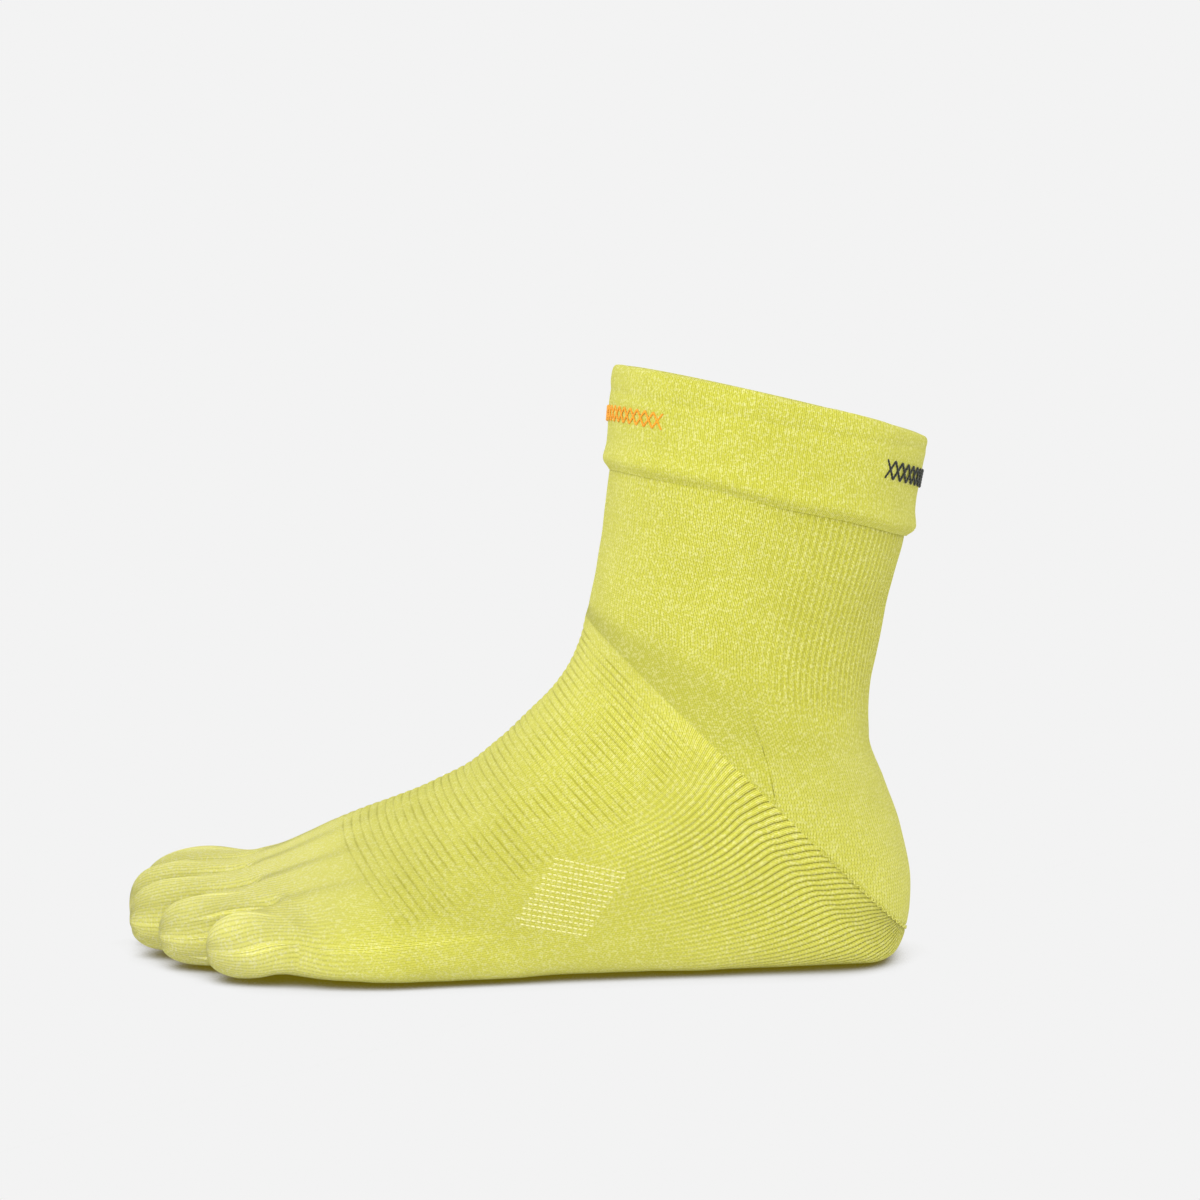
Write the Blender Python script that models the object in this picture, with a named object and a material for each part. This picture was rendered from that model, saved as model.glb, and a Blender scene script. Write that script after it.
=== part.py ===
"""Five-toe crew sock for a left foot, in the shape that it has when it is worn.

Metres, +Z up. The toes point to -X and the outer (little toe) side of the foot is -Y. The origin lies on
the inner face of the sole, under the ankle. Every piece is a knit wall with an open hollow: a ring of points
is laid on the sock's surface, extruded from course to course, turned inward at the edge and brought back
along the inner face.

A place on the surface is given by its course, which counts the rows of the section tables from the rim to
the roots of the toes, and by its turn, the angle round the section: 0 on top of the foot or in front of the
leg, minus a quarter turn on the outer side, plus a quarter turn on the inner side.
"""

import math

import bmesh
import bpy
import numpy as np

# Sizes

FOOT_LENGTH = 0.2500
FOOT_WIDTH = 0.0960
ANKLE_HEIGHT = 0.1085
LEG_LENGTH = 0.0771
LEG_DEPTH = 0.0990
LEG_WIDTH = 0.0860
HEEL_TOP = 0.0666
CUFF_HEIGHT = 0.0310
CUFF_STEP = 0.0020
CUFF_WALL = 0.0028
CUFF_BULGE = 0.0006
KNIT_WALL = 0.0015
JOIN_GAP = 0.0003
HEEL_TIP = 0.0008
RIB_PITCH = 0.0031
RIB_RISE = 0.0005
TOE_TAPER = 0.12

# Section tables

# One row for each section of the leg, from the rim down. Front and back are the two ends of the section in
# the middle plane: x as shares of the leg's depth, and z above the ankle as shares of the leg's length.
# Outer and inner are the half widths as shares of the leg's width, and curve is the section's exponent.
LEG_COLUMNS = ("front_x", "front_z", "back_x", "back_z", "outer", "inner", "curve")
LEG_SECTIONS = (
    (-0.438, 1.000, 0.566, 0.715, 0.500, 0.500, 2.10),
    (-0.453, 0.811, 0.538, 0.538, 0.495, 0.495, 2.10),
    (-0.464, 0.616, 0.511, 0.344, 0.487, 0.487, 2.10),
    (-0.474, 0.525, 0.501, 0.266, 0.478, 0.478, 2.10),
    (-0.478, 0.383, 0.469, 0.130, 0.460, 0.458, 2.10),
    (-0.501, 0.233, 0.440, -0.019, 0.438, 0.434, 2.10),
)

# One row for each section from the ankle to the roots of the toes. The sections fan out round the ankle:
# the top end runs down the shin and the instep while the sole end runs round the heel and along the floor.
# x is a share of the foot's length from the ankle, z of the ankle's height above the floor, and outer,
# inner, ridge and keel are shares of the foot's width: the two half widths, and how far the top and the
# bottom of the section lie to the inner side. Widest is the height of the half widths as a share of the
# section. Both tops and both lows are the exponents of its curves. Sweep is how far the section
# follows the slanted line of the toe roots, and ribbed the lowest share of it that carries cross ribs.
FOOT_COLUMNS = (
    "front_x", "front_z", "back_x", "back_z", "outer", "inner", "ridge", "keel",
    "widest", "outer_top", "inner_top", "outer_low", "inner_low", "sweep", "ribbed",
)
FOOT_SECTIONS = (
    (-0.198, 1.087, 0.158, 0.886, 0.368, 0.363, 0.00, 0.00, 0.50, 2.12, 2.12, 2.15, 2.15, 0.00, 0.56),
    (-0.202, 1.046, 0.150, 0.756, 0.362, 0.357, 0.00, 0.00, 0.50, 2.12, 2.12, 2.25, 2.25, 0.00, 0.56),
    (-0.203, 1.024, 0.150, 0.646, 0.358, 0.353, 0.00, 0.00, 0.50, 2.16, 2.16, 2.38, 2.38, 0.00, 0.56),
    (-0.204, 1.013, 0.170, 0.516, 0.357, 0.352, 0.00, 0.00, 0.49, 2.28, 2.28, 2.34, 2.34, 0.00, 0.56),
    (-0.205, 1.006, 0.192, 0.374, 0.354, 0.348, 0.00, 0.00, 0.48, 2.40, 2.40, 2.36, 2.36, 0.00, 0.56),
    (-0.206, 0.999, 0.204, 0.222, 0.351, 0.345, 0.00, 0.00, 0.46, 2.52, 2.52, 2.5, 2.5, 0.00, 0.56),
    (-0.207, 0.990, 0.197, 0.088, 0.349, 0.344, 0.01, 0.00, 0.43, 2.62, 2.62, 3.0, 2.9, 0.00, 0.56),
    (-0.213, 0.936, 0.176, 0.014, 0.349, 0.344, 0.01, 0.00, 0.40, 2.60, 2.60, 3.6, 3.4, 0.00, 0.56),
    (-0.222, 0.882, 0.148, 0.000, 0.349, 0.344, 0.02, 0.00, 0.37, 2.52, 2.52, 4.2, 3.9, 0.00, 0.56),
    (-0.246, 0.787, 0.088, 0.000, 0.354, 0.344, 0.03, -0.01, 0.34, 2.36, 2.36, 4.8, 4.2, 0.00, 0.56),
    (-0.278, 0.709, 0.024, 0.000, 0.365, 0.349, 0.05, -0.02, 0.32, 2.20, 2.20, 5.2, 3.8, 0.00, 0.56),
    (-0.316, 0.626, -0.048, 0.000, 0.385, 0.354, 0.07, -0.05, 0.31, 2.08, 2.08, 5.4, 2.8, 0.00, 0.55),
    (-0.360, 0.542, -0.124, 0.004, 0.406, 0.370, 0.09, -0.07, 0.31, 2.00, 2.00, 5.6, 2.5, 0.00, 0.52),
    (-0.410, 0.481, -0.208, 0.004, 0.432, 0.390, 0.11, -0.06, 0.31, 2.00, 2.00, 5.6, 2.6, 0.00, 0.48),
    (-0.464, 0.427, -0.296, 0.000, 0.464, 0.417, 0.14, -0.04, 0.32, 2.05, 2.10, 6.2, 3.4, 0.10, 0.44),
    (-0.520, 0.374, -0.388, 0.000, 0.500, 0.448, 0.16, -0.02, 0.34, 2.00, 2.10, 6.2, 4.4, 0.25, 0.40),
    (-0.570, 0.318, -0.476, 0.000, 0.526, 0.474, 0.16, 0.00, 0.38, 1.95, 2.20, 6.0, 4.8, 0.45, 0.40),
    (-0.610, 0.276, -0.560, 0.002, 0.521, 0.490, 0.15, 0.00, 0.42, 1.90, 2.50, 5.6, 4.4, 0.70, 0.40),
    (-0.643, 0.254, -0.643, 0.012, 0.495, 0.484, 0.12, 0.00, 0.46, 1.88, 2.80, 5.0, 3.8, 1.00, 0.40),
)
GORE_ROW = 6
LAST_RIB_ROW = 15.4

# The line of the toe roots, from the inner edge of the foot to the outer one: y as a share of the foot's
# width and x as a share of its length. The four middle rows are the crotches between the toes.
ROOT_COLUMNS = ("y", "x")
ROOT_LINE = (
    (0.484, -0.632),
    (0.182, -0.650),
    (0.008, -0.642),
    (-0.160, -0.624),
    (-0.319, -0.590),
    (-0.495, -0.544),
)

# One row for each toe: where it ends, and the top, the bottom and the end's height above the floor, as
# shares of the foot's length, the foot's width and the ankle's height. Blunt is the exponent of its end.
TOE_COLUMNS = ("tip_x", "tip_y", "top", "bottom", "tip_z", "blunt")
TOES = {
    "big_toe": (-0.800, 0.318, 0.252, 0.012, 0.116, 4.2),
    "second_toe": (-0.798, 0.094, 0.244, 0.013, 0.112, 6.5),
    "third_toe": (-0.782, -0.078, 0.226, 0.012, 0.104, 6.5),
    "fourth_toe": (-0.732, -0.236, 0.205, 0.010, 0.096, 6.0),
    "little_toe": (-0.661, -0.398, 0.197, 0.008, 0.092, 4.2),
}

# The welt's profile from the rim to the fold: how far down it a ring lies, and how much of the step and of
# the bulge it stands out from the line of the leg.
WELT_COLUMNS = ("down", "step", "bulge")
WELT_PROFILE = (
    (0.00, 0.55, 0.0),
    (0.04, 1.00, 0.0),
    (0.35, 0.95, 0.0),
    (0.65, 0.90, 0.0),
    (0.88, 1.00, 0.6),
    (0.96, 1.00, 1.0),
    (1.00, 0.60, 0.4),
)

# Shapes that the tables don't hold

# The valleys between the toes: their depth as a share of the height, how sharply they fall, and how many
# courses they run back into the foot.
VALLEY_DEPTH = 0.34
VALLEY_SHARPNESS = 6
VALLEY_REACH = 0.7

# Each toe turns from a squarish section at its root into a round one, and takes its own height, over these
# shares of its length.
TOE_ROOT_CURVE = 4.5
TOE_END_CURVE = 2.2
TOE_ROUND_BY = 0.8
TOE_HEIGHT_BY = 0.55

# The cross ribs fade out over this share of the section at their lower ends.
RIB_FADE = 0.12

# Mesh density

TOE_SIDES = 16
TOE_RING_ANGLES = (0.0, 1.5, 9.0, 22.0, 37.0, 51.0, 64.0, 75.0, 84.0)
WALES_PER_TOE = 4
EDGE_WALE = 0.97
RIBS_PER_RING = 2
FRONT_RINGS = 5
FOOT_INNER_RINGS = 14
LEG_RINGS = 9
LEG_INNER_RINGS = 6
LEG_RING_CROWDING = 1.4
HEEL_RINGS = 8
WELT_INNER_RINGS = 4
COURSE_STEP = 0.02
TURN_STEP = 0.12
FINE_STEPS = 40

KNIT_COLOURS = {
    "cuff": (222, 221, 99),
    "leg": (218, 217, 96),
    "heel": (219, 218, 105),
    "foot": (225, 223, 110),
    "big_toe": (229, 223, 137),
    "second_toe": (227, 223, 128),
    "third_toe": (227, 223, 124),
    "fourth_toe": (226, 223, 118),
    "little_toe": (225, 224, 112),
}
KNIT_ROUGHNESS = 0.9


def column(rows, names, name):
    """One named column of a table as an array."""
    return np.array([row[names.index(name)] for row in rows], float)


def smooth_through(places, values, at):
    """A curve through the values that never swings past them, read at the given places."""
    steps = np.diff(places)
    slopes = np.diff(values) / steps
    before = slopes[:-1]
    after = slopes[1:]
    same_way = before * after > 0
    total = np.where(same_way, before + after, 1)
    tangents = np.zeros(len(values))
    tangents[1:-1] = np.where(same_way, 2 * before * after / total, 0)
    tangents[0] = slopes[0]
    tangents[-1] = slopes[-1]
    at = np.clip(at, places[0], places[-1])
    i = np.clip(np.searchsorted(places, at, side="right") - 1, 0, len(steps) - 1)
    t = (at - places[i]) / steps[i]
    start = values[i] * (1 + 2 * t) * (1 - t) ** 2 + tangents[i] * steps[i] * t * (1 - t) ** 2
    end = values[i + 1] * t * t * (3 - 2 * t) - tangents[i + 1] * steps[i] * t * t * (1 - t)
    return start + end


def ease(t):
    t = np.clip(t, 0.0, 1.0)
    return t * t * (3 - 2 * t)


def power(base, exponent):
    return np.sign(base) * np.abs(base) ** exponent


def section_columns():
    """Every column of the two section tables in metres, with the leg's rows before the foot's."""
    depth = LEG_DEPTH - 2 * CUFF_STEP
    width = LEG_WIDTH - 2 * CUFF_STEP
    leg = {name: column(LEG_SECTIONS, LEG_COLUMNS, name) for name in LEG_COLUMNS}
    foot = {name: column(FOOT_SECTIONS, FOOT_COLUMNS, name) for name in FOOT_COLUMNS}
    same = np.ones(len(LEG_SECTIONS))
    leg_rows = {
        "front_x": leg["front_x"] * depth,
        "back_x": leg["back_x"] * depth,
        "front_z": ANKLE_HEIGHT + leg["front_z"] * LEG_LENGTH,
        "back_z": ANKLE_HEIGHT + leg["back_z"] * LEG_LENGTH,
        "outer": leg["outer"] * width,
        "inner": leg["inner"] * width,
        "ridge": same * 0,
        "keel": same * 0,
        "widest": same * 0.5,
        "outer_top": leg["curve"],
        "inner_top": leg["curve"],
        "outer_low": leg["curve"],
        "inner_low": leg["curve"],
        "sweep": same * 0,
        "ribbed": same * foot["ribbed"][0],
    }
    scales = {
        "front_x": FOOT_LENGTH,
        "back_x": FOOT_LENGTH,
        "front_z": ANKLE_HEIGHT,
        "back_z": ANKLE_HEIGHT,
        "outer": FOOT_WIDTH,
        "inner": FOOT_WIDTH,
        "ridge": FOOT_WIDTH,
        "keel": FOOT_WIDTH,
    }
    return {name: np.concatenate([leg_rows[name], foot[name] * scales.get(name, 1)]) for name in foot}


COLUMNS = section_columns()
LEG_ROWS = len(LEG_SECTIONS)
LAST_COURSE = LEG_ROWS + len(FOOT_SECTIONS) - 1
GORE_COURSE = LEG_ROWS + GORE_ROW
LAST_RIB_COURSE = LEG_ROWS + LAST_RIB_ROW

ROOT_Y = column(ROOT_LINE, ROOT_COLUMNS, "y")[::-1] * FOOT_WIDTH
ROOT_X = column(ROOT_LINE, ROOT_COLUMNS, "x")[::-1] * FOOT_LENGTH
FRONT_X = COLUMNS["front_x"][-1]


def at_course(name, course):
    """One quantity of the section tables at any course."""
    return smooth_through(np.arange(LAST_COURSE + 1.0), COLUMNS[name], course)


def root_x(y):
    """How far forward the toe roots lie at this y."""
    return smooth_through(ROOT_Y, ROOT_X, y)


def valley(y):
    """The height of the toe roots' outline at this y as a share of the plain section's: less at a crotch."""
    height = np.ones(np.shape(y))
    webs = ROOT_Y[1:-1]
    centres = (ROOT_Y[:-1] + ROOT_Y[1:]) / 2
    for web, low, high in zip(webs, centres[:-1], centres[1:]):
        beside = np.where(y < web, (y - low) / (web - low), (high - y) / (high - web))
        height -= VALLEY_DEPTH * np.clip(beside, 0, 1) ** VALLEY_SHARPNESS
    return height


def plain_surface(course, turn):
    """The sock's outer face without its cross ribs, and how far up its section each point lies."""
    course, turn = np.broadcast_arrays(np.asarray(course, float), np.asarray(turn, float))
    row = {name: at_course(name, course) for name in COLUMNS}
    upper = np.cos(turn) >= 0
    outer_side = np.sin(turn) < 0
    low = np.where(outer_side, row["outer_low"], row["inner_low"])
    top = np.where(outer_side, row["outer_top"], row["inner_top"])
    curve = np.where(upper, top, low)
    side = np.where(outer_side, -row["outer"], row["inner"])
    middle = np.where(upper, row["ridge"], row["keel"])
    y = middle + (side - middle) * np.abs(np.sin(turn)) ** (2 / curve)
    rise = power(np.cos(turn), 2 / curve)
    share = row["widest"] + np.where(upper, 1 - row["widest"], row["widest"]) * rise
    x = row["back_x"] + (row["front_x"] - row["back_x"]) * share
    x = x + row["sweep"] * (root_x(y) - FRONT_X)
    into_toes = ease(1 - (LAST_COURSE - course) / VALLEY_REACH)
    widest_z = row["back_z"] + (row["front_z"] - row["back_z"]) * row["widest"]
    z = row["back_z"] + (row["front_z"] - row["back_z"]) * share
    z = widest_z + (z - widest_z) * (1 + (valley(y) - 1) * into_toes)
    return np.stack([x, y, z - KNIT_WALL], axis=-1), share


def lengthwise_stretch(course, turn):
    """How far the surface runs over two steps of the course."""
    return plain_surface(course + COURSE_STEP, turn)[0] - plain_surface(course - COURSE_STEP, turn)[0]


def outward(course, turn):
    """The direction away from the hollow at each place."""
    around = plain_surface(course, turn + TURN_STEP)[0] - plain_surface(course, turn - TURN_STEP)[0]
    normal = np.cross(around, lengthwise_stretch(course, turn))
    return normal / np.linalg.norm(normal, axis=-1, keepdims=True)


def knit_surface(course, turn, proud=0.0):
    """Points that stand the given height out of the plain surface."""
    course, turn = np.broadcast_arrays(np.asarray(course, float), np.asarray(turn, float))
    normal = outward(course, turn)
    return plain_surface(course, turn)[0] + normal * np.asarray(proud)[..., None]


def front_length():
    """Distance along the front edge at fine steps of the course."""
    courses = np.linspace(0, LAST_COURSE, FINE_STEPS * LAST_COURSE + 1)
    edge = np.stack([at_course("front_x", courses), at_course("front_z", courses)], axis=-1)
    steps = np.linalg.norm(np.diff(edge, axis=0), axis=1)
    return courses, np.concatenate([[0], np.cumsum(steps)])


EDGE_COURSES, EDGE_LENGTHS = front_length()


def course_at(length):
    """The course that lies this far down the front edge from the rim."""
    return np.interp(length, EDGE_LENGTHS, EDGE_COURSES)


def length_at(course):
    return np.interp(course, EDGE_COURSES, EDGE_LENGTHS)


def wale_turns():
    """The turns of the wales, spaced so that some of them end at the crotches and the crowns of the toes."""
    places = [ROOT_Y[0], ROOT_Y[0] * EDGE_WALE, ROOT_Y[-1] * EDGE_WALE]
    for low, high in zip(ROOT_Y[:-1], ROOT_Y[1:]):
        places += [low + (high - low) * share for share in np.arange(1, WALES_PER_TOE + 1) / WALES_PER_TOE]
    places = np.sort(places)
    ridge = COLUMNS["ridge"][-1]
    reach = np.where(places < ridge, ridge - ROOT_Y[0], ROOT_Y[-1] - ridge)
    shares = np.clip((places - ridge) / reach, -1, 1)
    curve = np.where(places < ridge, COLUMNS["outer_top"][-1], COLUMNS["inner_top"][-1])
    upper = np.arcsin(power(shares, curve / 2))
    lower = math.pi - upper[::-1]
    return np.concatenate([upper, lower[1:-1]])


TURNS = wale_turns()
UPPER_WALES = int(np.sum(np.cos(TURNS) > -1e-9))


def extrude_loop(bm, loop):
    """Extrudes a closed loop of vertices into a new one and gives it in the same order."""
    edges = [bm.edges.get(pair) for pair in zip(loop, loop[1:] + loop[:1])]
    made = bmesh.ops.extrude_edge_only(bm, edges=edges)["geom"]
    new = {item for item in made if isinstance(item, bmesh.types.BMVert)}
    return [next(e.other_vert(v) for e in v.link_edges if e.other_vert(v) in new) for v in loop]


def place(loop, points):
    for vertex, point in zip(loop, points):
        vertex.co = point


def first_loop(bm, points):
    loop = bmesh.ops.create_circle(bm, segments=len(points), radius=FOOT_WIDTH / 2)["verts"]
    place(loop, points)
    return loop


def tube(bm, rings):
    """A wall with a hollow through it: the rings run down its outer face and back up its inner face."""
    loops = [first_loop(bm, rings[0])]
    for ring in rings[1:]:
        loops.append(extrude_loop(bm, loops[-1]))
        place(loops[-1], ring)
    last = extrude_loop(bm, loops[-1])
    bmesh.ops.weld_verts(bm, targetmap=dict(zip(last, loops[0])))
    return loops


def pod(bm, rings):
    """A wall whose first and last rings are closed by a small face: a closed end outside and inside."""
    loops = [first_loop(bm, rings[0])]
    for ring in rings[1:]:
        loops.append(extrude_loop(bm, loops[-1]))
        place(loops[-1], ring)
    for loop in (loops[0], loops[-1]):
        bmesh.ops.contextual_create(bm, geom=loop)


def knit_material(name):
    material = bpy.data.materials.new(name + "_knit")
    material.use_nodes = True
    shader = material.node_tree.nodes["Principled BSDF"]
    srgb = np.array(KNIT_COLOURS[name]) / 255
    linear = np.where(srgb <= 0.04045, srgb / 12.92, ((srgb + 0.055) / 1.055) ** 2.4)
    shader.inputs["Base Color"].default_value = (*linear, 1.0)
    shader.inputs["Roughness"].default_value = KNIT_ROUGHNESS
    shader.inputs["Metallic"].default_value = 0.0
    return material


def finish(name, bm):
    """Turns the faces outward and keeps the mesh as a named object with its own material."""
    bmesh.ops.recalc_face_normals(bm, faces=bm.faces[:])
    mesh = bpy.data.meshes.new(name)
    bm.to_mesh(mesh)
    bm.free()
    mesh.shade_smooth()
    mesh.set_sharp_from_angle(angle=math.radians(50))
    piece = bpy.data.objects.new(name, mesh)
    bpy.context.scene.collection.objects.link(piece)
    piece.data.materials.append(knit_material(name))
    return piece


def clearance(course, turn):
    """How much of a course a join's gap takes up at each place."""
    length = np.linalg.norm(lengthwise_stretch(course, turn), axis=-1)
    return JOIN_GAP * 2 * COURSE_STEP / length


def heel_top_courses():
    """The course where each wale meets the heel's top edge: the gore's in front of the ankle, less behind."""
    courses = np.linspace(LEG_ROWS - 1, GORE_COURSE, FINE_STEPS * (GORE_ROW + 1))
    found = []
    for turn in TURNS:
        heights = plain_surface(courses, turn)[0][:, 2] + KNIT_WALL
        below = np.nonzero(heights <= HEEL_TOP)[0]
        behind = np.cos(turn) < -1e-9
        found.append(courses[below[0]] if behind and len(below) else GORE_COURSE)
    found = np.array(found)
    behind = found < GORE_COURSE
    beside = (np.roll(behind, 1) | np.roll(behind, -1)) & ~behind
    tip = clearance(np.full(len(TURNS), float(GORE_COURSE)), TURNS) * HEEL_TIP / JOIN_GAP
    return np.where(beside, GORE_COURSE - tip, found)


def make_cuff():
    down = column(WELT_PROFILE, WELT_COLUMNS, "down")
    proud = column(WELT_PROFILE, WELT_COLUMNS, "step") * CUFF_STEP
    proud += column(WELT_PROFILE, WELT_COLUMNS, "bulge") * CUFF_BULGE
    courses = course_at(down * CUFF_HEIGHT)
    rings = [knit_surface(c, TURNS, np.full(len(TURNS), p)) for c, p in zip(courses, proud)]
    inner = np.full(len(TURNS), CUFF_STEP - CUFF_WALL)
    for share in np.linspace(1, 0, WELT_INNER_RINGS):
        rings.append(knit_surface(course_at(share * CUFF_HEIGHT), TURNS, inner))
    bm = bmesh.new()
    tube(bm, rings)
    return finish("cuff", bm)


def make_leg():
    top = course_at(CUFF_HEIGHT + JOIN_GAP)
    bottom = heel_top_courses()
    bottom = bottom - clearance(bottom, TURNS)
    rings = []
    for share in np.linspace(0, 1, LEG_RINGS) ** LEG_RING_CROWDING:
        rings.append(knit_surface(top + (bottom - top) * share, TURNS))
    wall = np.full(len(TURNS), -KNIT_WALL)
    for share in np.linspace(1, 0, LEG_INNER_RINGS) ** LEG_RING_CROWDING:
        rings.append(knit_surface(top + (bottom - top) * share, TURNS, wall))
    bm = bmesh.new()
    tube(bm, rings)
    return finish("leg", bm)


def make_heel():
    """A wedge of the wall behind the ankle: loops round its edge, extruded from one side to the other."""
    tops = heel_top_courses()
    behind = np.nonzero(tops < GORE_COURSE)[0]
    after_gap = behind[np.nonzero(np.diff(behind) > 1)[0][0] + 1]
    order = np.roll(behind, -np.nonzero(behind == after_gap)[0][0])
    tops = tops[order]
    turns = np.unwrap(TURNS[order])
    bottoms = GORE_COURSE - clearance(np.full(len(turns), float(GORE_COURSE)), turns)
    shares = np.linspace(0, 1, HEEL_RINGS)
    courses = tops + (bottoms - tops) * shares[:, None]
    outside = knit_surface(courses, turns)
    inside = knit_surface(courses, turns, np.full(courses.shape, -KNIT_WALL))
    bm = bmesh.new()
    pod(bm, [np.concatenate([outside[:, i], inside[::-1, i]]) for i in range(len(turns))])
    return finish("heel", bm)


def rib_height(course, turn, rib):
    """Cross ribs over the instep: a crest halfway between whole numbers of rib, fading down the sides."""
    share = plain_surface(course, turn)[1]
    fade = ease((share - at_course("ribbed", course)) / RIB_FADE)
    return RIB_RISE * np.sin(math.pi * rib) ** 2 * fade


def make_foot():
    rib_start = length_at(GORE_COURSE)
    rings_of_ribs = round((length_at(LAST_RIB_COURSE) - rib_start) / RIB_PITCH / RIBS_PER_RING)
    ribbed = course_at(np.linspace(rib_start, length_at(LAST_RIB_COURSE), rings_of_ribs + 1))
    front = np.linspace(LAST_RIB_COURSE, LAST_COURSE, FRONT_RINGS + 1)[1:]
    courses = [np.full(len(TURNS), course) for course in (*ribbed, *front)]
    rings = [knit_surface(c, TURNS) for c in courses]
    wall = np.full(len(TURNS), -KNIT_WALL)
    inner = np.linspace(LAST_COURSE, GORE_COURSE, FOOT_INNER_RINGS)
    inner_rings = [knit_surface(np.full(len(TURNS), c), TURNS, wall) for c in inner]
    inner_rings[0][:, 0] = root_x(inner_rings[0][:, 1])
    rings += inner_rings
    bm = bmesh.new()
    on_rib = bm.verts.layers.float.new("rib")
    on_course = bm.verts.layers.float.new("course")
    on_turn = bm.verts.layers.float.new("turn")
    loops = tube(bm, rings)
    for number in range(rings_of_ribs + 1):
        for wale, vertex in enumerate(loops[number]):
            vertex[on_rib] = number * RIBS_PER_RING
            vertex[on_course] = courses[number][wale]
            vertex[on_turn] = TURNS[wale]
    lengthwise = []
    for above, below in zip(loops[:rings_of_ribs], loops[1 : rings_of_ribs + 1]):
        lengthwise += [bm.edges.get((above[w], below[w])) for w in range(UPPER_WALES)]
    made = bmesh.ops.subdivide_edges(bm, edges=lengthwise, cuts=2 * RIBS_PER_RING - 1, use_grid_fill=True)
    crests = [item for item in made["geom_inner"] if isinstance(item, bmesh.types.BMVert)]
    course = np.array([vertex[on_course] for vertex in crests])
    turn = np.array([vertex[on_turn] for vertex in crests])
    rib = np.array([vertex[on_rib] for vertex in crests])
    place(crests, knit_surface(course, turn, rib_height(course, turn, rib)))
    return finish("foot", bm)


def make_toe(name, low, high):
    """One toe between two crotches: a closed tube that opens into the foot."""
    tip = dict(zip(TOE_COLUMNS, TOES[name]))
    tip_x = tip["tip_x"] * FOOT_LENGTH
    tip_y = tip["tip_y"] * FOOT_WIDTH
    top = tip["top"] * ANKLE_HEIGHT
    bottom = tip["bottom"] * ANKLE_HEIGHT
    tip_z = tip["tip_z"] * ANKLE_HEIGHT
    centre = (low + high) / 2
    half = (high - low - JOIN_GAP) / 2
    row = {key: values[-1] for key, values in COLUMNS.items()}
    root_z = row["back_z"] + (row["front_z"] - row["back_z"]) * row["widest"]
    turns = np.linspace(-math.pi, math.pi, TOE_SIDES, endpoint=False)

    def root_height(y, above):
        """How far the open end of the foot lies above or below its widest level at this y."""
        side = np.where(y < row["ridge" if above else "keel"], -row["outer"], row["inner"])
        middle = row["ridge" if above else "keel"]
        part = "top" if above else "low"
        curve = np.where(y < middle, row["outer_" + part], row["inner_" + part])
        share = np.clip((y - middle) / (side - middle), 0, 1)
        reach = row["front_z"] - root_z if above else root_z - row["back_z"]
        return reach * (1 - share**curve) ** (1 / curve) * valley(y)

    def ring(angle, wall):
        """A section of the toe: the angle is 0 at the root and a quarter turn at the very end."""
        along = math.sin(angle) ** (2 / tip["blunt"])
        close = math.cos(angle) ** (2 / TOE_END_CURVE)
        curve = TOE_ROOT_CURVE + (TOE_END_CURVE - TOE_ROOT_CURVE) * ease(along / TOE_ROUND_BY)
        sin_side = power(np.sin(turns), 2 / curve)
        cos_side = power(np.cos(turns), 2 / curve)
        width = (half * (1 - TOE_TAPER * along) - wall) * close
        y = centre + (tip_y - centre) * along**2 + width * sin_side
        root_y = centre + half * sin_side
        above = np.cos(turns) >= 0
        own = np.where(above, top - tip_z, tip_z - bottom)
        open_end = np.where(above, root_height(root_y, True), root_height(root_y, False))
        blend = ease(along / TOE_HEIGHT_BY)
        height = np.maximum(open_end + (own - open_end) * blend - wall, 0) * close
        z = root_z + (tip_z - root_z) * blend + height * cos_side
        start = root_x(y) - JOIN_GAP
        x = start + (tip_x + wall - start) * along
        return np.stack([x, y, z - KNIT_WALL], axis=-1)

    angles = np.radians(TOE_RING_ANGLES)
    inside = [ring(angle, KNIT_WALL) for angle in angles[::-1]]
    outside = [ring(angle, 0.0) for angle in angles]
    bm = bmesh.new()
    pod(bm, inside + outside)
    return finish(name, bm)


def clear_scene():
    for item in list(bpy.data.objects):
        bpy.data.objects.remove(item, do_unlink=True)


clear_scene()
make_cuff()
make_leg()
make_heel()
make_foot()
for toe, high, low in zip(TOES, ROOT_Y[:0:-1], ROOT_Y[-2::-1]):
    make_toe(toe, low, high)
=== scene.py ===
# %% [markdown]
# A toe sock, knitted in one tube
#
# The real object is a crew sock with a pocket for each toe, knitted in soft yellow-green yarn and shown as
# it sits on a left foot. The machine changes its stitch as it goes: a doubled welt at the cuff, fine ribs up
# the leg, a smooth heel, cross ribs over the instep and plain knit from the ball to the toes. Cloth like
# this could be draped by simulation, but a worn sock is held in shape by the foot, so each zone is laid on
# the sock's own sections instead, as knit is pulled over a wooden form.

import math

import bpy
import numpy as np
from mathutils import Matrix, Vector


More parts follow.
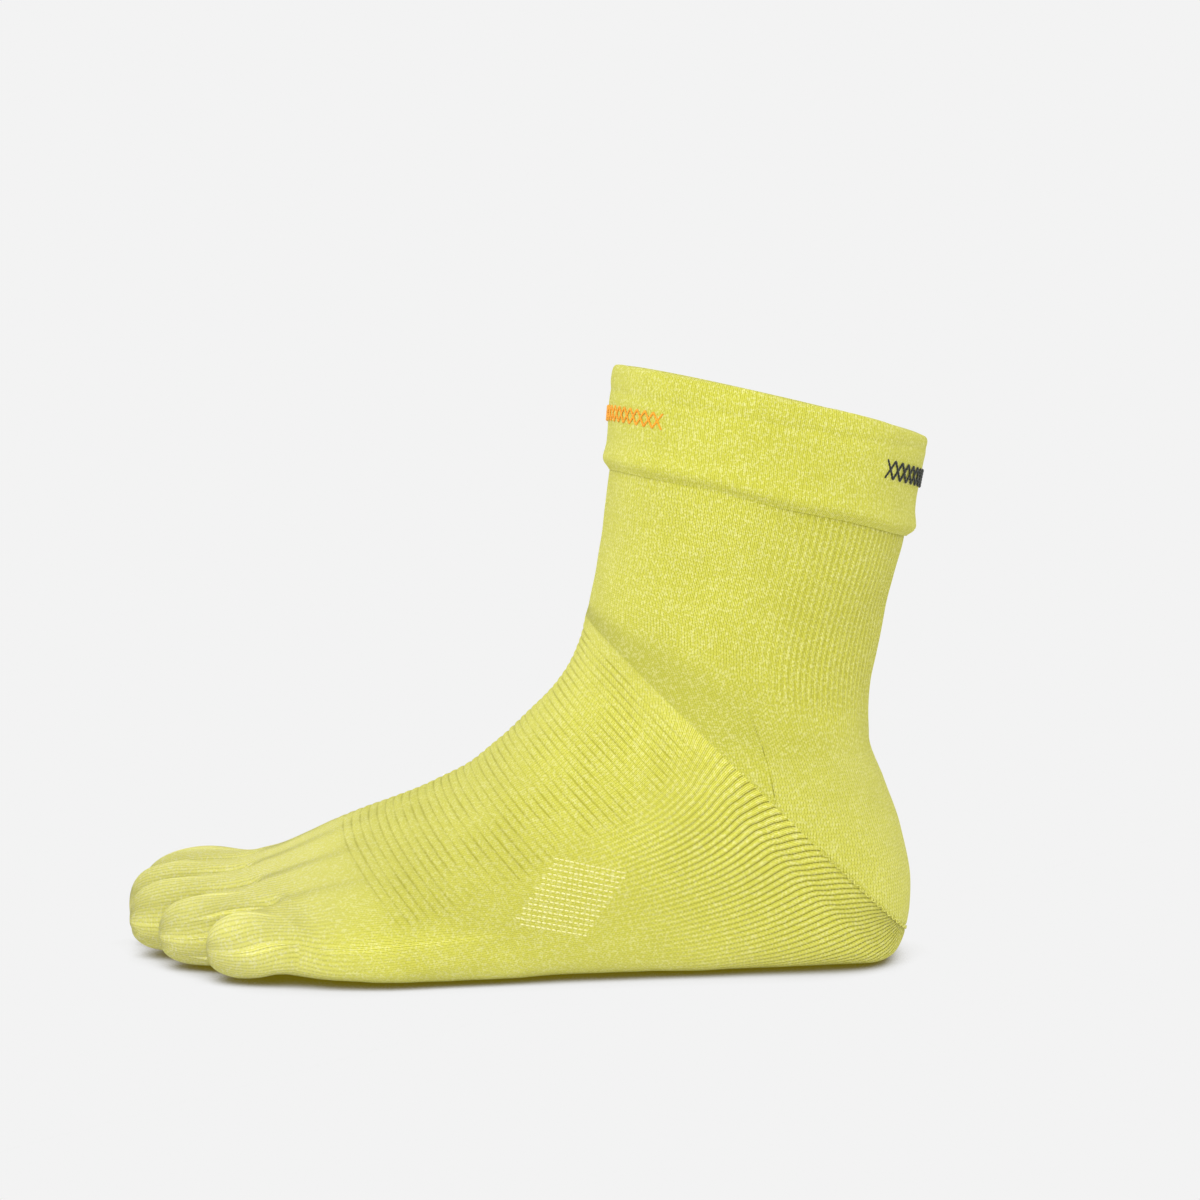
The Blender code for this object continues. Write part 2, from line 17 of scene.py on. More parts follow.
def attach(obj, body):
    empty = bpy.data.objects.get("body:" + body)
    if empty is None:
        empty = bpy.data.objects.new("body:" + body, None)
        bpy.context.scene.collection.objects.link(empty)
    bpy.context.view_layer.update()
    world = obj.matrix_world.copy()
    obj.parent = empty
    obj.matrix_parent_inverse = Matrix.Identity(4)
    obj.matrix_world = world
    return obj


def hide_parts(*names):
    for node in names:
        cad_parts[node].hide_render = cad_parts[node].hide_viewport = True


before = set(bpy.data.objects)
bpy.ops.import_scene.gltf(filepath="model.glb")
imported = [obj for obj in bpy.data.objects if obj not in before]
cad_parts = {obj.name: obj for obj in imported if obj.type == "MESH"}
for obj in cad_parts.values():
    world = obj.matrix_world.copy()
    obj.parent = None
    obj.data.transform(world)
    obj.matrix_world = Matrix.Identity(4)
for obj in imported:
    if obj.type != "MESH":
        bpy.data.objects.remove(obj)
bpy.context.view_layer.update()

# %% [markdown]
# Sizes and sections
#
# The sock's shape is a row of sections, from the rim down the leg, round the ankle and along the foot. Every
# length in them is a share of a real size, so a longer foot keeps its proportions. These tables are the ones
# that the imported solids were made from, so that each detailed zone lies where its solid lies.

# %% Sizes in metres
FOOT_LENGTH = 0.2500
FOOT_WIDTH = 0.0960
ANKLE_HEIGHT = 0.1085
LEG_LENGTH = 0.0771
LEG_DEPTH = 0.0990
LEG_WIDTH = 0.0860
HEEL_TOP = 0.0666
CUFF_HEIGHT = 0.0310
CUFF_STEP = 0.0020
CUFF_WALL = 0.0028
KNIT_WALL = 0.0015
TOE_TAPER = 0.12
print("a foot of", FOOT_LENGTH * 1000, "mm")

# %% Section tables
LEG_COLUMNS = ("front_x", "front_z", "back_x", "back_z", "outer", "inner", "curve")
LEG_SECTIONS = (
    (-0.438, 1.000, 0.566, 0.715, 0.500, 0.500, 2.10),
    (-0.453, 0.811, 0.538, 0.538, 0.495, 0.495, 2.10),
    (-0.464, 0.616, 0.511, 0.344, 0.487, 0.487, 2.10),
    (-0.474, 0.525, 0.501, 0.266, 0.478, 0.478, 2.10),
    (-0.478, 0.383, 0.469, 0.130, 0.460, 0.458, 2.10),
    (-0.501, 0.233, 0.440, -0.019, 0.438, 0.434, 2.10),
)
FOOT_COLUMNS = (
    "front_x", "front_z", "back_x", "back_z", "outer", "inner", "ridge", "keel",
    "widest", "outer_top", "inner_top", "outer_low", "inner_low", "sweep", "ribbed",
)
FOOT_SECTIONS = (
    (-0.198, 1.087, 0.158, 0.886, 0.368, 0.363, 0.00, 0.00, 0.50, 2.12, 2.12, 2.15, 2.15, 0.00, 0.56),
    (-0.202, 1.046, 0.150, 0.756, 0.362, 0.357, 0.00, 0.00, 0.50, 2.12, 2.12, 2.25, 2.25, 0.00, 0.56),
    (-0.203, 1.024, 0.150, 0.646, 0.358, 0.353, 0.00, 0.00, 0.50, 2.16, 2.16, 2.38, 2.38, 0.00, 0.56),
    (-0.204, 1.013, 0.170, 0.516, 0.357, 0.352, 0.00, 0.00, 0.49, 2.28, 2.28, 2.34, 2.34, 0.00, 0.56),
    (-0.205, 1.006, 0.192, 0.374, 0.354, 0.348, 0.00, 0.00, 0.48, 2.40, 2.40, 2.36, 2.36, 0.00, 0.56),
    (-0.206, 0.999, 0.204, 0.222, 0.351, 0.345, 0.00, 0.00, 0.46, 2.52, 2.52, 2.5, 2.5, 0.00, 0.56),
    (-0.207, 0.990, 0.197, 0.088, 0.349, 0.344, 0.01, 0.00, 0.43, 2.62, 2.62, 3.0, 2.9, 0.00, 0.56),
    (-0.213, 0.936, 0.176, 0.014, 0.349, 0.344, 0.01, 0.00, 0.40, 2.60, 2.60, 3.6, 3.4, 0.00, 0.56),
    (-0.222, 0.882, 0.148, 0.000, 0.349, 0.344, 0.02, 0.00, 0.37, 2.52, 2.52, 4.2, 3.9, 0.00, 0.56),
    (-0.246, 0.787, 0.088, 0.000, 0.354, 0.344, 0.03, -0.01, 0.34, 2.36, 2.36, 4.8, 4.2, 0.00, 0.56),
    (-0.278, 0.709, 0.024, 0.000, 0.365, 0.349, 0.05, -0.02, 0.32, 2.20, 2.20, 5.2, 3.8, 0.00, 0.56),
    (-0.316, 0.626, -0.048, 0.000, 0.385, 0.354, 0.07, -0.05, 0.31, 2.08, 2.08, 5.4, 2.8, 0.00, 0.55),
    (-0.360, 0.542, -0.124, 0.004, 0.406, 0.370, 0.09, -0.07, 0.31, 2.00, 2.00, 5.6, 2.5, 0.00, 0.52),
    (-0.410, 0.481, -0.208, 0.004, 0.432, 0.390, 0.11, -0.06, 0.31, 2.00, 2.00, 5.6, 2.6, 0.00, 0.48),
    (-0.464, 0.427, -0.296, 0.000, 0.464, 0.417, 0.14, -0.04, 0.32, 2.05, 2.10, 6.2, 3.4, 0.10, 0.44),
    (-0.520, 0.374, -0.388, 0.000, 0.500, 0.448, 0.16, -0.02, 0.34, 2.00, 2.10, 6.2, 4.4, 0.25, 0.40),
    (-0.570, 0.318, -0.476, 0.000, 0.526, 0.474, 0.16, 0.00, 0.38, 1.95, 2.20, 6.0, 4.8, 0.45, 0.40),
    (-0.610, 0.276, -0.560, 0.002, 0.521, 0.490, 0.15, 0.00, 0.42, 1.90, 2.50, 5.6, 4.4, 0.70, 0.40),
    (-0.643, 0.254, -0.643, 0.012, 0.495, 0.484, 0.12, 0.00, 0.46, 1.88, 2.80, 5.0, 3.8, 1.00, 0.40),
)
GORE_ROW = 6
ROOT_LINE = (
    (0.484, -0.632),
    (0.182, -0.650),
    (0.008, -0.642),
    (-0.160, -0.624),
    (-0.319, -0.590),
    (-0.495, -0.544),
)
TOE_COLUMNS = ("tip_x", "tip_y", "top", "bottom", "tip_z", "blunt")
TOES = {
    "big_toe": (-0.800, 0.318, 0.252, 0.012, 0.116, 4.2),
    "second_toe": (-0.798, 0.094, 0.244, 0.013, 0.112, 6.5),
    "third_toe": (-0.782, -0.078, 0.226, 0.012, 0.104, 6.5),
    "fourth_toe": (-0.732, -0.236, 0.205, 0.010, 0.096, 6.0),
    "little_toe": (-0.661, -0.398, 0.197, 0.008, 0.092, 4.2),
}
VALLEY_DEPTH = 0.34
VALLEY_SHARPNESS = 6
VALLEY_REACH = 0.7
print(len(LEG_SECTIONS) + len(FOOT_SECTIONS), "sections and", len(TOES), "toes")

# %% [markdown]
# From tables to a surface
#
# A place on the sock has a course, which counts the sections from the rim to the toe roots, and a turn, the
# angle round the section. Between the rows of the tables a curve runs through the values without swinging
# past them: straight lines would leave creases, and a plain spline would bulge.


# %% Curves through the tables
def smooth_through(places, values, at):
    """A curve through the values that never swings past them, read at the given places."""
    steps = np.diff(places)
    slopes = np.diff(values) / steps
    before = slopes[:-1]
    after = slopes[1:]
    same_way = before * after > 0
    total = np.where(same_way, before + after, 1)
    tangents = np.zeros(len(values))
    tangents[1:-1] = np.where(same_way, 2 * before * after / total, 0)
    tangents[0] = slopes[0]
    tangents[-1] = slopes[-1]
    at = np.clip(at, places[0], places[-1])
    i = np.clip(np.searchsorted(places, at, side="right") - 1, 0, len(steps) - 1)
    t = (at - places[i]) / steps[i]
    start = values[i] * (1 + 2 * t) * (1 - t) ** 2 + tangents[i] * steps[i] * t * (1 - t) ** 2
    end = values[i + 1] * t * t * (3 - 2 * t) - tangents[i + 1] * steps[i] * t * t * (1 - t)
    return start + end


def ease(t):
    t = np.clip(t, 0.0, 1.0)
    return t * t * (3 - 2 * t)


def power(base, exponent):
    return np.sign(base) * np.abs(base) ** exponent


def section_columns():
    """Every column of the two section tables in metres, with the leg's rows before the foot's."""
    depth = LEG_DEPTH - 2 * CUFF_STEP
    width = LEG_WIDTH - 2 * CUFF_STEP
    leg = dict(zip(LEG_COLUMNS, np.array(LEG_SECTIONS).T))
    foot = dict(zip(FOOT_COLUMNS, np.array(FOOT_SECTIONS).T))
    same = np.ones(len(LEG_SECTIONS))
    leg_rows = {
        "front_x": leg["front_x"] * depth,
        "back_x": leg["back_x"] * depth,
        "front_z": ANKLE_HEIGHT + leg["front_z"] * LEG_LENGTH,
        "back_z": ANKLE_HEIGHT + leg["back_z"] * LEG_LENGTH,
        "outer": leg["outer"] * width,
        "inner": leg["inner"] * width,
        "ridge": same * 0,
        "keel": same * 0,
        "widest": same * 0.5,
        "outer_top": leg["curve"],
        "inner_top": leg["curve"],
        "outer_low": leg["curve"],
        "inner_low": leg["curve"],
        "sweep": same * 0,
        "ribbed": same * foot["ribbed"][0],
    }
    lengths = dict.fromkeys(("front_x", "back_x"), FOOT_LENGTH)
    heights = dict.fromkeys(("front_z", "back_z"), ANKLE_HEIGHT)
    widths = dict.fromkeys(("outer", "inner", "ridge", "keel"), FOOT_WIDTH)
    scales = {**lengths, **heights, **widths}
    return {name: np.concatenate([leg_rows[name], foot[name] * scales.get(name, 1)]) for name in foot}


COLUMNS = section_columns()
LEG_ROWS = len(LEG_SECTIONS)
LAST_COURSE = LEG_ROWS + len(FOOT_SECTIONS) - 1
GORE_COURSE = LEG_ROWS + GORE_ROW
ROOT_Y = np.array([row[0] for row in ROOT_LINE])[::-1] * FOOT_WIDTH
ROOT_X = np.array([row[1] for row in ROOT_LINE])[::-1] * FOOT_LENGTH
FRONT_X = COLUMNS["front_x"][-1]
print("courses", LAST_COURSE, "gore at", GORE_COURSE)


# %% The plain surface
def at_course(name, course):
    """One quantity of the section tables at any course."""
    return smooth_through(np.arange(LAST_COURSE + 1.0), COLUMNS[name], course)


def root_x(y):
    """How far forward the toe roots lie at this y."""
    return smooth_through(ROOT_Y, ROOT_X, y)


def valley(y):
    """The height of the toe roots' outline at this y as a share of the plain section's: less at a crotch."""
    height = np.ones(np.shape(y))
    webs = ROOT_Y[1:-1]
    centres = (ROOT_Y[:-1] + ROOT_Y[1:]) / 2
    for web, low, high in zip(webs, centres[:-1], centres[1:]):
        beside = np.where(y < web, (y - low) / (web - low), (high - y) / (high - web))
        height -= VALLEY_DEPTH * np.clip(beside, 0, 1) ** VALLEY_SHARPNESS
    return height


def plain_surface(course, turn):
    """The sock's outer face without its knit relief, and how far up its section each point lies."""
    course, turn = np.broadcast_arrays(np.asarray(course, float), np.asarray(turn, float))
    row = {name: at_course(name, course) for name in COLUMNS}
    upper = np.cos(turn) >= 0
    outer_side = np.sin(turn) < 0
    low = np.where(outer_side, row["outer_low"], row["inner_low"])
    top = np.where(outer_side, row["outer_top"], row["inner_top"])
    curve = np.where(upper, top, low)
    side = np.where(outer_side, -row["outer"], row["inner"])
    middle = np.where(upper, row["ridge"], row["keel"])
    y = middle + (side - middle) * np.abs(np.sin(turn)) ** (2 / curve)
    rise = power(np.cos(turn), 2 / curve)
    share = row["widest"] + np.where(upper, 1 - row["widest"], row["widest"]) * rise
    x = row["back_x"] + (row["front_x"] - row["back_x"]) * share
    x = x + row["sweep"] * (root_x(y) - FRONT_X)
    into_toes = ease(1 - (LAST_COURSE - course) / VALLEY_REACH)
    widest_z = row["back_z"] + (row["front_z"] - row["back_z"]) * row["widest"]
    z = row["back_z"] + (row["front_z"] - row["back_z"]) * share
    z = widest_z + (z - widest_z) * (1 + (valley(y) - 1) * into_toes)
    return np.stack([x, y, z - KNIT_WALL], axis=-1), share


COURSE_STEP = 0.02
TURN_STEP = 0.03


def outward(course, turn):
    """The direction away from the hollow at each place."""
    ahead = plain_surface(course + COURSE_STEP, turn)[0] - plain_surface(course - COURSE_STEP, turn)[0]
    around = plain_surface(course, turn + TURN_STEP)[0] - plain_surface(course, turn - TURN_STEP)[0]
    normal = np.cross(around, ahead)
    return normal / np.linalg.norm(normal, axis=-1, keepdims=True)


def knit_surface(course, turn, proud):
    """Points that stand the given height out of the plain surface."""
    course, turn = np.broadcast_arrays(np.asarray(course, float), np.asarray(turn, float))
    return plain_surface(course, turn)[0] + outward(course, turn) * np.asarray(proud)[..., None]


# %% [markdown]
# Wales and courses
#
# Knit has its own grid. Its columns of loops are wales, its rows are courses, and on a stretched tube the
# wales share the way round equally. So the turn of each wale is looked up by length round the section. The
# wale count starts at the outer side line, runs over the top and comes back under the sole. Where the foot
# starts, at the gore, its wales lean towards the sole, as they do on the real sock.

# %% Even wales round every section
FINE = 8
GORE_LEAN = 0.13
LEAN_COURSES = 3.0
LEAN_FADE = 3.0
courses_fine = np.linspace(0, LAST_COURSE, FINE * LAST_COURSE + 1)
# Each quarter turn has its points closer together at its two ends, where a section bends fastest.
quarter = np.linspace(0, 1, 361)
quarter = quarter**3 / (quarter**3 + (1 - quarter) ** 3)
turns_fine = np.concatenate([number + quarter[:-1] for number in range(-2, 4)] + [[4.0]]) * 0.5 * math.pi
surface_fine = plain_surface(courses_fine[:, None], turns_fine)[0]
steps_round = np.linalg.norm(np.diff(surface_fine, axis=1), axis=2)
lengths_round = np.concatenate([np.zeros((len(courses_fine), 1)), np.cumsum(steps_round, axis=1)], axis=1)
SIDE_LINE = int(np.argmin(np.abs(turns_fine + 0.5 * math.pi)))
lengths_round -= lengths_round[:, SIDE_LINE : SIDE_LINE + 1]
GIRTH = np.array([np.interp(1.5 * math.pi, turns_fine, row) for row in lengths_round])
WALE_SHARES = np.linspace(0, 1, 1441)


def wale_table(lean):
    """The turn of every wale at every fine course. The lean slides wales towards the sole at the gore."""
    table = []
    for course, row, girth in zip(courses_fine, lengths_round, GIRTH):
        top = np.interp(0.0, turns_fine, row)
        sole = np.interp(math.pi, turns_fine, row)
        place = WALE_SHARES * girth
        inner = (place > top) & (place <= sole)
        outer_half = girth - (sole - top)
        from_top = np.where(place > sole, top + girth - place, np.abs(place - top))
        half = np.where(inner, sole - top, outer_half)
        share = from_top / half
        slide = ease((share - 0.15) / 0.55) * ease((1 - share) / 0.34)
        near = np.clip(1 - (course - GORE_COURSE) / LEAN_COURSES, 0, 1) ** LEAN_FADE
        moved = place + np.where(inner, 1, -1) * slide * half * near * lean
        table.append(np.interp(moved, row, turns_fine))
    return np.stack(table)


EVEN_WALES = wale_table(0.0)
FOOT_WALES = wale_table(GORE_LEAN)


def turn_at(course, wale, table=EVEN_WALES):
    """The turn at which a wale, given as a share of the way round, crosses a course."""
    course, wale = np.broadcast_arrays(np.asarray(course, float), np.asarray(wale, float))
    down = np.clip(course * FINE, 0, len(courses_fine) - 1)
    over = np.clip(wale, 0, 1) * (len(WALE_SHARES) - 1)
    i = np.minimum(down.astype(int), len(courses_fine) - 2)
    j = np.minimum(over.astype(int), len(WALE_SHARES) - 2)
    s = down - i
    t = over - j
    near = table[i, j] * (1 - t) + table[i, j + 1] * t
    far = table[i + 1, j] * (1 - t) + table[i + 1, j + 1] * t
    return near * (1 - s) + far * s


def edge_length(turn):
    """Distance along one turn of the surface at fine steps of the course."""
    line = plain_surface(courses_fine, turn)[0]
    return np.concatenate([[0], np.cumsum(np.linalg.norm(np.diff(line, axis=0), axis=1))])


FRONT_LENGTHS = edge_length(0.0)
SIDE_LENGTHS = edge_length(-0.5 * math.pi)


def course_at(length):
    """The course that lies this far down the front edge from the rim."""
    return np.interp(length, FRONT_LENGTHS, courses_fine)


def front_length(course):
    return np.interp(course, courses_fine, FRONT_LENGTHS)


def side_length(course):
    return np.interp(course, courses_fine, SIDE_LENGTHS)


COURSE_PITCH = 0.0011
LEG_RIBS = 126
FOOT_RIBS = 172
print("girth of the rim %.0f mm, of the ball %.0f mm" % (GIRTH[0] * 1000, GIRTH[-2 * FINE] * 1000))

# %% [markdown]
# Laying a zone of knit
#
# A knitted zone is one closed wall. A flat grid primitive is added, as knit comes off the machine, and its
# vertices are laid on rows of points: down the outer face, round the edge and back up the inner face. Where
# the rows and columns meet again, merging by distance closes the wall. The grid keeps a UV map counted in
# stitches, so that the yarn pattern follows the surface.


# %% One closed wall of knit
MERGE_DISTANCE = 2e-6


def lay_knit(name, rows, stitches, groove=None, lines=None):
    """A grid laid on rows of points. Stitch counts go in a UV map, and the groove and line shades in
    attributes.
    """
    count_rows, count_columns = rows.shape[:2]
    bpy.ops.object.select_all(action="DESELECT")
    bpy.ops.mesh.primitive_grid_add(
        x_subdivisions=count_columns - 1, y_subdivisions=count_rows - 1, size=FOOT_LENGTH, location=(0, 0, 0)
    )
    piece = bpy.context.object
    piece.name = name
    mesh = piece.data
    mesh.name = name
    mesh.vertices.foreach_set("co", rows.reshape(-1).astype(np.float32))
    corners = np.empty(len(mesh.loops), np.int32)
    mesh.loops.foreach_get("vertex_index", corners)
    layer = mesh.uv_layers[0]
    layer.name = "stitches"
    layer.data.foreach_set("uv", stitches.reshape(-1, 2)[corners].reshape(-1).astype(np.float32))
    for field, values in (("groove", groove), ("lines", lines)):
        attribute = mesh.attributes.new(field, "FLOAT", "POINT")
        if values is not None:
            attribute.data.foreach_set("value", values.reshape(-1).astype(np.float32))
    bpy.ops.object.mode_set(mode="EDIT")
    bpy.ops.mesh.select_all(action="SELECT")
    bpy.ops.mesh.remove_doubles(threshold=MERGE_DISTANCE)
    bpy.ops.mesh.normals_make_consistent(inside=False)
    bpy.ops.object.mode_set(mode="OBJECT")
    bpy.ops.object.shade_smooth_by_angle(angle=math.radians(60))
    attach(piece, "root")
    print(name, "faces", len(mesh.polygons))
    return piece


def closed_wall(outer, inner, stitches, *fields):
    """Rows down the outer face, back up the inner face and round again, where the fields are nil."""
    added = len(inner) + 1
    rows = np.concatenate([outer, inner[::-1], outer[:1]])
    back = np.zeros((added, rows.shape[1], 2))
    back[..., 0] = stitches[-1, :, 0]
    back[..., 1] = np.linspace(stitches[-1, 0, 1], stitches[0, 0, 1], added)[:, None]
    padded = [np.pad(field, ((0, added), (0, 0))) for field in fields]
    return rows, np.concatenate([stitches, back]), *padded


def stitch_counts(wales, ribs, lengths):
    """Places in the UV map: two stitches across each rib, and a stitch along for each course's pitch."""
    return np.stack(np.broadcast_arrays(wales * ribs * 2 + 0.5, lengths / COURSE_PITCH), axis=-1)


# %% [markdown]
# Small unevenness
#
# Knit on a foot is never exact. Slow waves, a sum of sines with unrelated lengths, move the surface by a few
# tenths of a millimetre. A sum of sines is smooth everywhere and gives the same result on every run.


# %% Slow waves
def slow_waves(points, size, seed):
    """A smooth field between about -1 and 1 that changes over the given size in metres."""
    chance = np.random.default_rng(seed)
    total = np.zeros(points.shape[:-1])
    for _ in range(7):
        way = chance.normal(size=3)
        way /= np.linalg.norm(way) * size * chance.uniform(0.6, 1.6)
        total += np.sin(2 * math.pi * (points @ way + chance.uniform()))
    return total / 3.5


# %% [markdown]
# The cuff
#
# The welt is knitted twice as long and turned over, so it is thicker than the leg and ends in a soft fold
# that stands off it. Its outline from rim to fold is a short profile. Slow waves move the rim and the fold
# up and down, and the fold is a little fuller behind, where the leg narrows under it.

# %% Welt profile and cuff
WELT_PROFILE = (
    (0.000, 0.00),
    (0.006, 0.30),
    (0.020, 0.58),
    (0.045, 0.78),
    (0.090, 0.90),
    (0.160, 0.96),
    (0.260, 0.92),
    (0.450, 0.88),
    (0.650, 0.84),
    (0.750, 0.88),
    (0.820, 1.06),
    (0.870, 1.24),
    (0.905, 1.30),
    (0.940, 1.18),
    (0.970, 0.90),
    (0.995, 0.52),
    (1.015, 0.22),
    (1.030, 0.06),
)


CUFF_ROWS = 100
CUFF_COLUMNS = 481
FOLD_HANG = 0.0006
RIM_HANG = 0.0005
RIM_DROP = 0.0003
BEHIND_FULLER = 0.0005
CREASE_DEPTH = 0.00035


def welt_outline():
    """How far down the welt and out of the leg each outer row lies, evenly spaced along the profile."""
    profile = np.array(WELT_PROFILE)
    steps = np.linalg.norm(np.diff(profile * (CUFF_HEIGHT, CUFF_STEP), axis=0), axis=1)
    along = np.concatenate([[0], np.cumsum(steps)])
    at = np.linspace(0, along[-1], CUFF_ROWS)
    down = smooth_through(along, profile[:, 0], at)[:, None]
    return down, smooth_through(along, profile[:, 1], at)[:, None] * CUFF_STEP


def make_cuff():
    down, step = welt_outline()
    wales = np.linspace(0, 1, CUFF_COLUMNS)
    flat = plain_surface(0.0, turn_at(0.0, wales))[0] * (1, 1, 0)
    fold = ease((down - 0.60) / 0.35)
    rim = 1 - ease(down / 0.25)
    hang = slow_waves(flat, 0.055, 31) * FOLD_HANG * fold + slow_waves(flat, 0.040, 32) * RIM_HANG * rim
    course = course_at(down * CUFF_HEIGHT + hang + RIM_DROP)
    turn = turn_at(course, wales)
    behind = ease(-np.cos(turn))
    base = plain_surface(course, turn)[0]
    wave = slow_waves(base, 0.045, 3) * 0.00035 + slow_waves(base, 0.013, 4) * 0.00010
    crease_line = 0.17 + 0.12 * np.sin(turn + 2.6)
    crease = np.exp(-(((down - crease_line) / 0.045) ** 2)) * ease(0.5 - 1.2 * np.sin(turn))
    outer = knit_surface(course, turn, step + behind * fold * BEHIND_FULLER + wave - crease * CREASE_DEPTH)
    inner_course = course_at(np.linspace(0.004, 1.0, 8) * CUFF_HEIGHT)[:, None]
    inner = knit_surface(inner_course, turn_at(inner_course, wales), CUFF_STEP - CUFF_WALL)
    counts = stitch_counts(wales, LEG_RIBS, side_length(course))
    return lay_knit("cuff_welt", *closed_wall(outer, inner, counts))


cuff = make_cuff()
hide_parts("cuff")

# %% [markdown]
# The leg
#
# The leg is a one-by-one rib: a raised wale and a sunk one in turn, about two millimetres apart, which lets
# it stretch over the heel. It ends at the gore in front of the ankle and at the top of the heel behind it.
# The ribs are real ridges in the mesh here, and the loops on them are left to the material.


# %% Where the heel begins
def heel_top_course(wales):
    """The course where each wale meets the heel's top edge: the gore's in front, less behind."""
    courses = np.linspace(LEG_ROWS - 1, GORE_COURSE, 700)
    turn = turn_at(courses[:, None], wales)
    heights = plain_surface(courses[:, None], turn)[0][..., 2] + KNIT_WALL
    found = np.full(len(wales), float(GORE_COURSE))
    for number in range(len(wales)):
        below = np.nonzero(heights[:, number] <= HEEL_TOP)[0]
        if np.cos(turn[-1, number]) < 0 and len(below) and below[0] > 0:
            i = below[0]
            drop = heights[i - 1, number] - heights[i, number]
            part = (heights[i - 1, number] - HEEL_TOP) / drop
            found[number] = courses[i - 1] + (courses[1] - courses[0]) * part
    return found


INNER_SIDE = float(np.interp(0.5 * math.pi, EVEN_WALES[GORE_COURSE * FINE], WALE_SHARES))
# At each side line the leg's end steps from the gore up to the heel's top, between columns a hair apart.
HAIR = 2e-5
SEAM_WIDTH = 0.0016
SEAM_DEPTH = 0.00035


def seam_dip(distance):
    """How far the knit sinks towards a join that lies this many metres away."""
    return -SEAM_DEPTH * (1 - ease(distance / SEAM_WIDTH))


RELAX_ROWS = 18
RELAX_SPREAD = 7.0


def relaxed(points):
    """Points drawn towards their neighbours along each wale, as taut knit is. The ends stay in place."""
    weights = np.exp(-0.5 * (np.arange(-RELAX_ROWS, RELAX_ROWS + 1) / RELAX_SPREAD) ** 2)
    before = 2 * points[:1] - points[RELAX_ROWS:0:-1]
    after = 2 * points[-1:] - points[-2 : -RELAX_ROWS - 2 : -1]
    padded = np.concatenate([before, points, after])
    total = sum(weight * padded[i : i + len(points)] for i, weight in enumerate(weights))
    return total / weights.sum()


# %% The leg's ribs
LEG_RIB_DEPTH = 0.00026
LEG_RIB_FADE = 0.022
BESIDE_HEEL = 0.008
ABOVE_HEEL = 0.010


def leg_relief(plain, turn, wales, bottom, above_heel):
    """The height of the leg's knit above the plain surface, and how deep in a groove it is, for painted
    shade.
    """
    lengths = np.linalg.norm(np.diff(plain, axis=0), axis=2)
    to_end = np.concatenate([np.cumsum(lengths[::-1], axis=0)[::-1], np.zeros((1, len(wales)))])
    from_side = np.minimum(np.minimum(wales, 1 - wales), np.abs(wales - INNER_SIDE)) * GIRTH[0]
    free = 1 - (1 - ease(from_side / BESIDE_HEEL)) * (1 - above_heel)
    ridge = np.abs(np.sin(math.pi * (wales * LEG_RIBS))) ** 0.9
    strength = ease(to_end / LEG_RIB_FADE) * (0.25 + 0.75 * ease(0.5 - np.cos(turn))) * free
    sag = slow_waves(plain, 0.035, 8) * 0.0003 + slow_waves(plain, 0.012, 9) * 0.00008
    low_end = ease((plain[-1:, :, 0] + 0.022) / 0.02) * (bottom > GORE_COURSE - 0.01)
    waves = sag * ease(to_end / 0.01) * free
    return (ridge - 1) * LEG_RIB_DEPTH * strength + seam_dip(to_end) * low_end + waves, (1 - ridge) * strength


def make_leg():
    wales = np.linspace(0, 1, LEG_RIBS * 5 + 1)
    wales = np.sort(np.concatenate([wales, (INNER_SIDE - HAIR, INNER_SIDE + HAIR, 1 - HAIR)]))
    bottom = heel_top_course(wales)
    bottom[-1] = bottom[0]
    top = float(course_at(CUFF_HEIGHT))
    course = top + (bottom - top) * np.linspace(0, 1, 88)[:, None] ** 1.15
    turn = turn_at(course, wales)
    plain = plain_surface(course, turn)[0]
    above_heel = ease((plain[..., 2] - HEEL_TOP) / ABOVE_HEEL)
    proud, groove = leg_relief(plain, turn, wales, bottom, above_heel)
    outer = knit_surface(course, turn, proud) + (relaxed(plain) - plain) * above_heel[..., None]
    inner_course = top + (bottom - top) * np.linspace(0, 1, 8)[:, None]
    inner = knit_surface(inner_course, turn_at(inner_course, wales), -KNIT_WALL)
    counts = stitch_counts(wales, LEG_RIBS, side_length(course))
    return lay_knit("leg_rib", *closed_wall(outer, inner, counts, groove))


leg = make_leg()
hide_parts("leg")

# %% [markdown]
# The heel pocket
#
# A turned heel is a wedge of plain knit set into the tube behind the ankle. It narrows towards each side
# line, where the leg and the foot meet, and ends there in a short edge. Its grid runs round the edge of the
# wall in one direction and from the inner side to the outer one in the other, and each end is closed by a
# fan of faces round one vertex.


# %% Heel
def make_heel():
    wales = np.linspace(INNER_SIDE + HAIR, 1 - HAIR, 320)
    tops = heel_top_course(wales)
    course = tops + (GORE_COURSE - tops) * np.linspace(0, 1, 70)[:, None]
    turn = turn_at(course, wales)
    plain = plain_surface(course, turn)[0]
    lengths = np.linalg.norm(np.diff(plain, axis=0), axis=2)
    below = np.concatenate([np.zeros((1, len(wales))), np.cumsum(lengths, axis=0)])
    edge = np.minimum(below, below[-1] - below)
    from_side = np.minimum(wales - INNER_SIDE, 1 - wales) * GIRTH[0]
    sag = slow_waves(plain, 0.04, 12) * 0.0002 * ease(edge / 0.008) * ease(from_side / BESIDE_HEEL)
    outer = knit_surface(course, turn, seam_dip(below[-1] - below) + sag)
    inner = knit_surface(course[::10], turn[::10], -KNIT_WALL)
    rows, counts = closed_wall(outer, inner, stitch_counts(wales, LEG_RIBS, below))
    ends = [np.repeat(rows[:, i].mean(axis=0)[None, None], len(rows), axis=0) for i in (0, -1)]
    rows = np.concatenate([ends[0], rows, ends[1]], axis=1)
    counts = np.concatenate([counts[:, :1], counts, counts[:, -1:]], axis=1)
    return lay_knit("heel_pocket", rows, counts)


heel = make_heel()
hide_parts("heel")
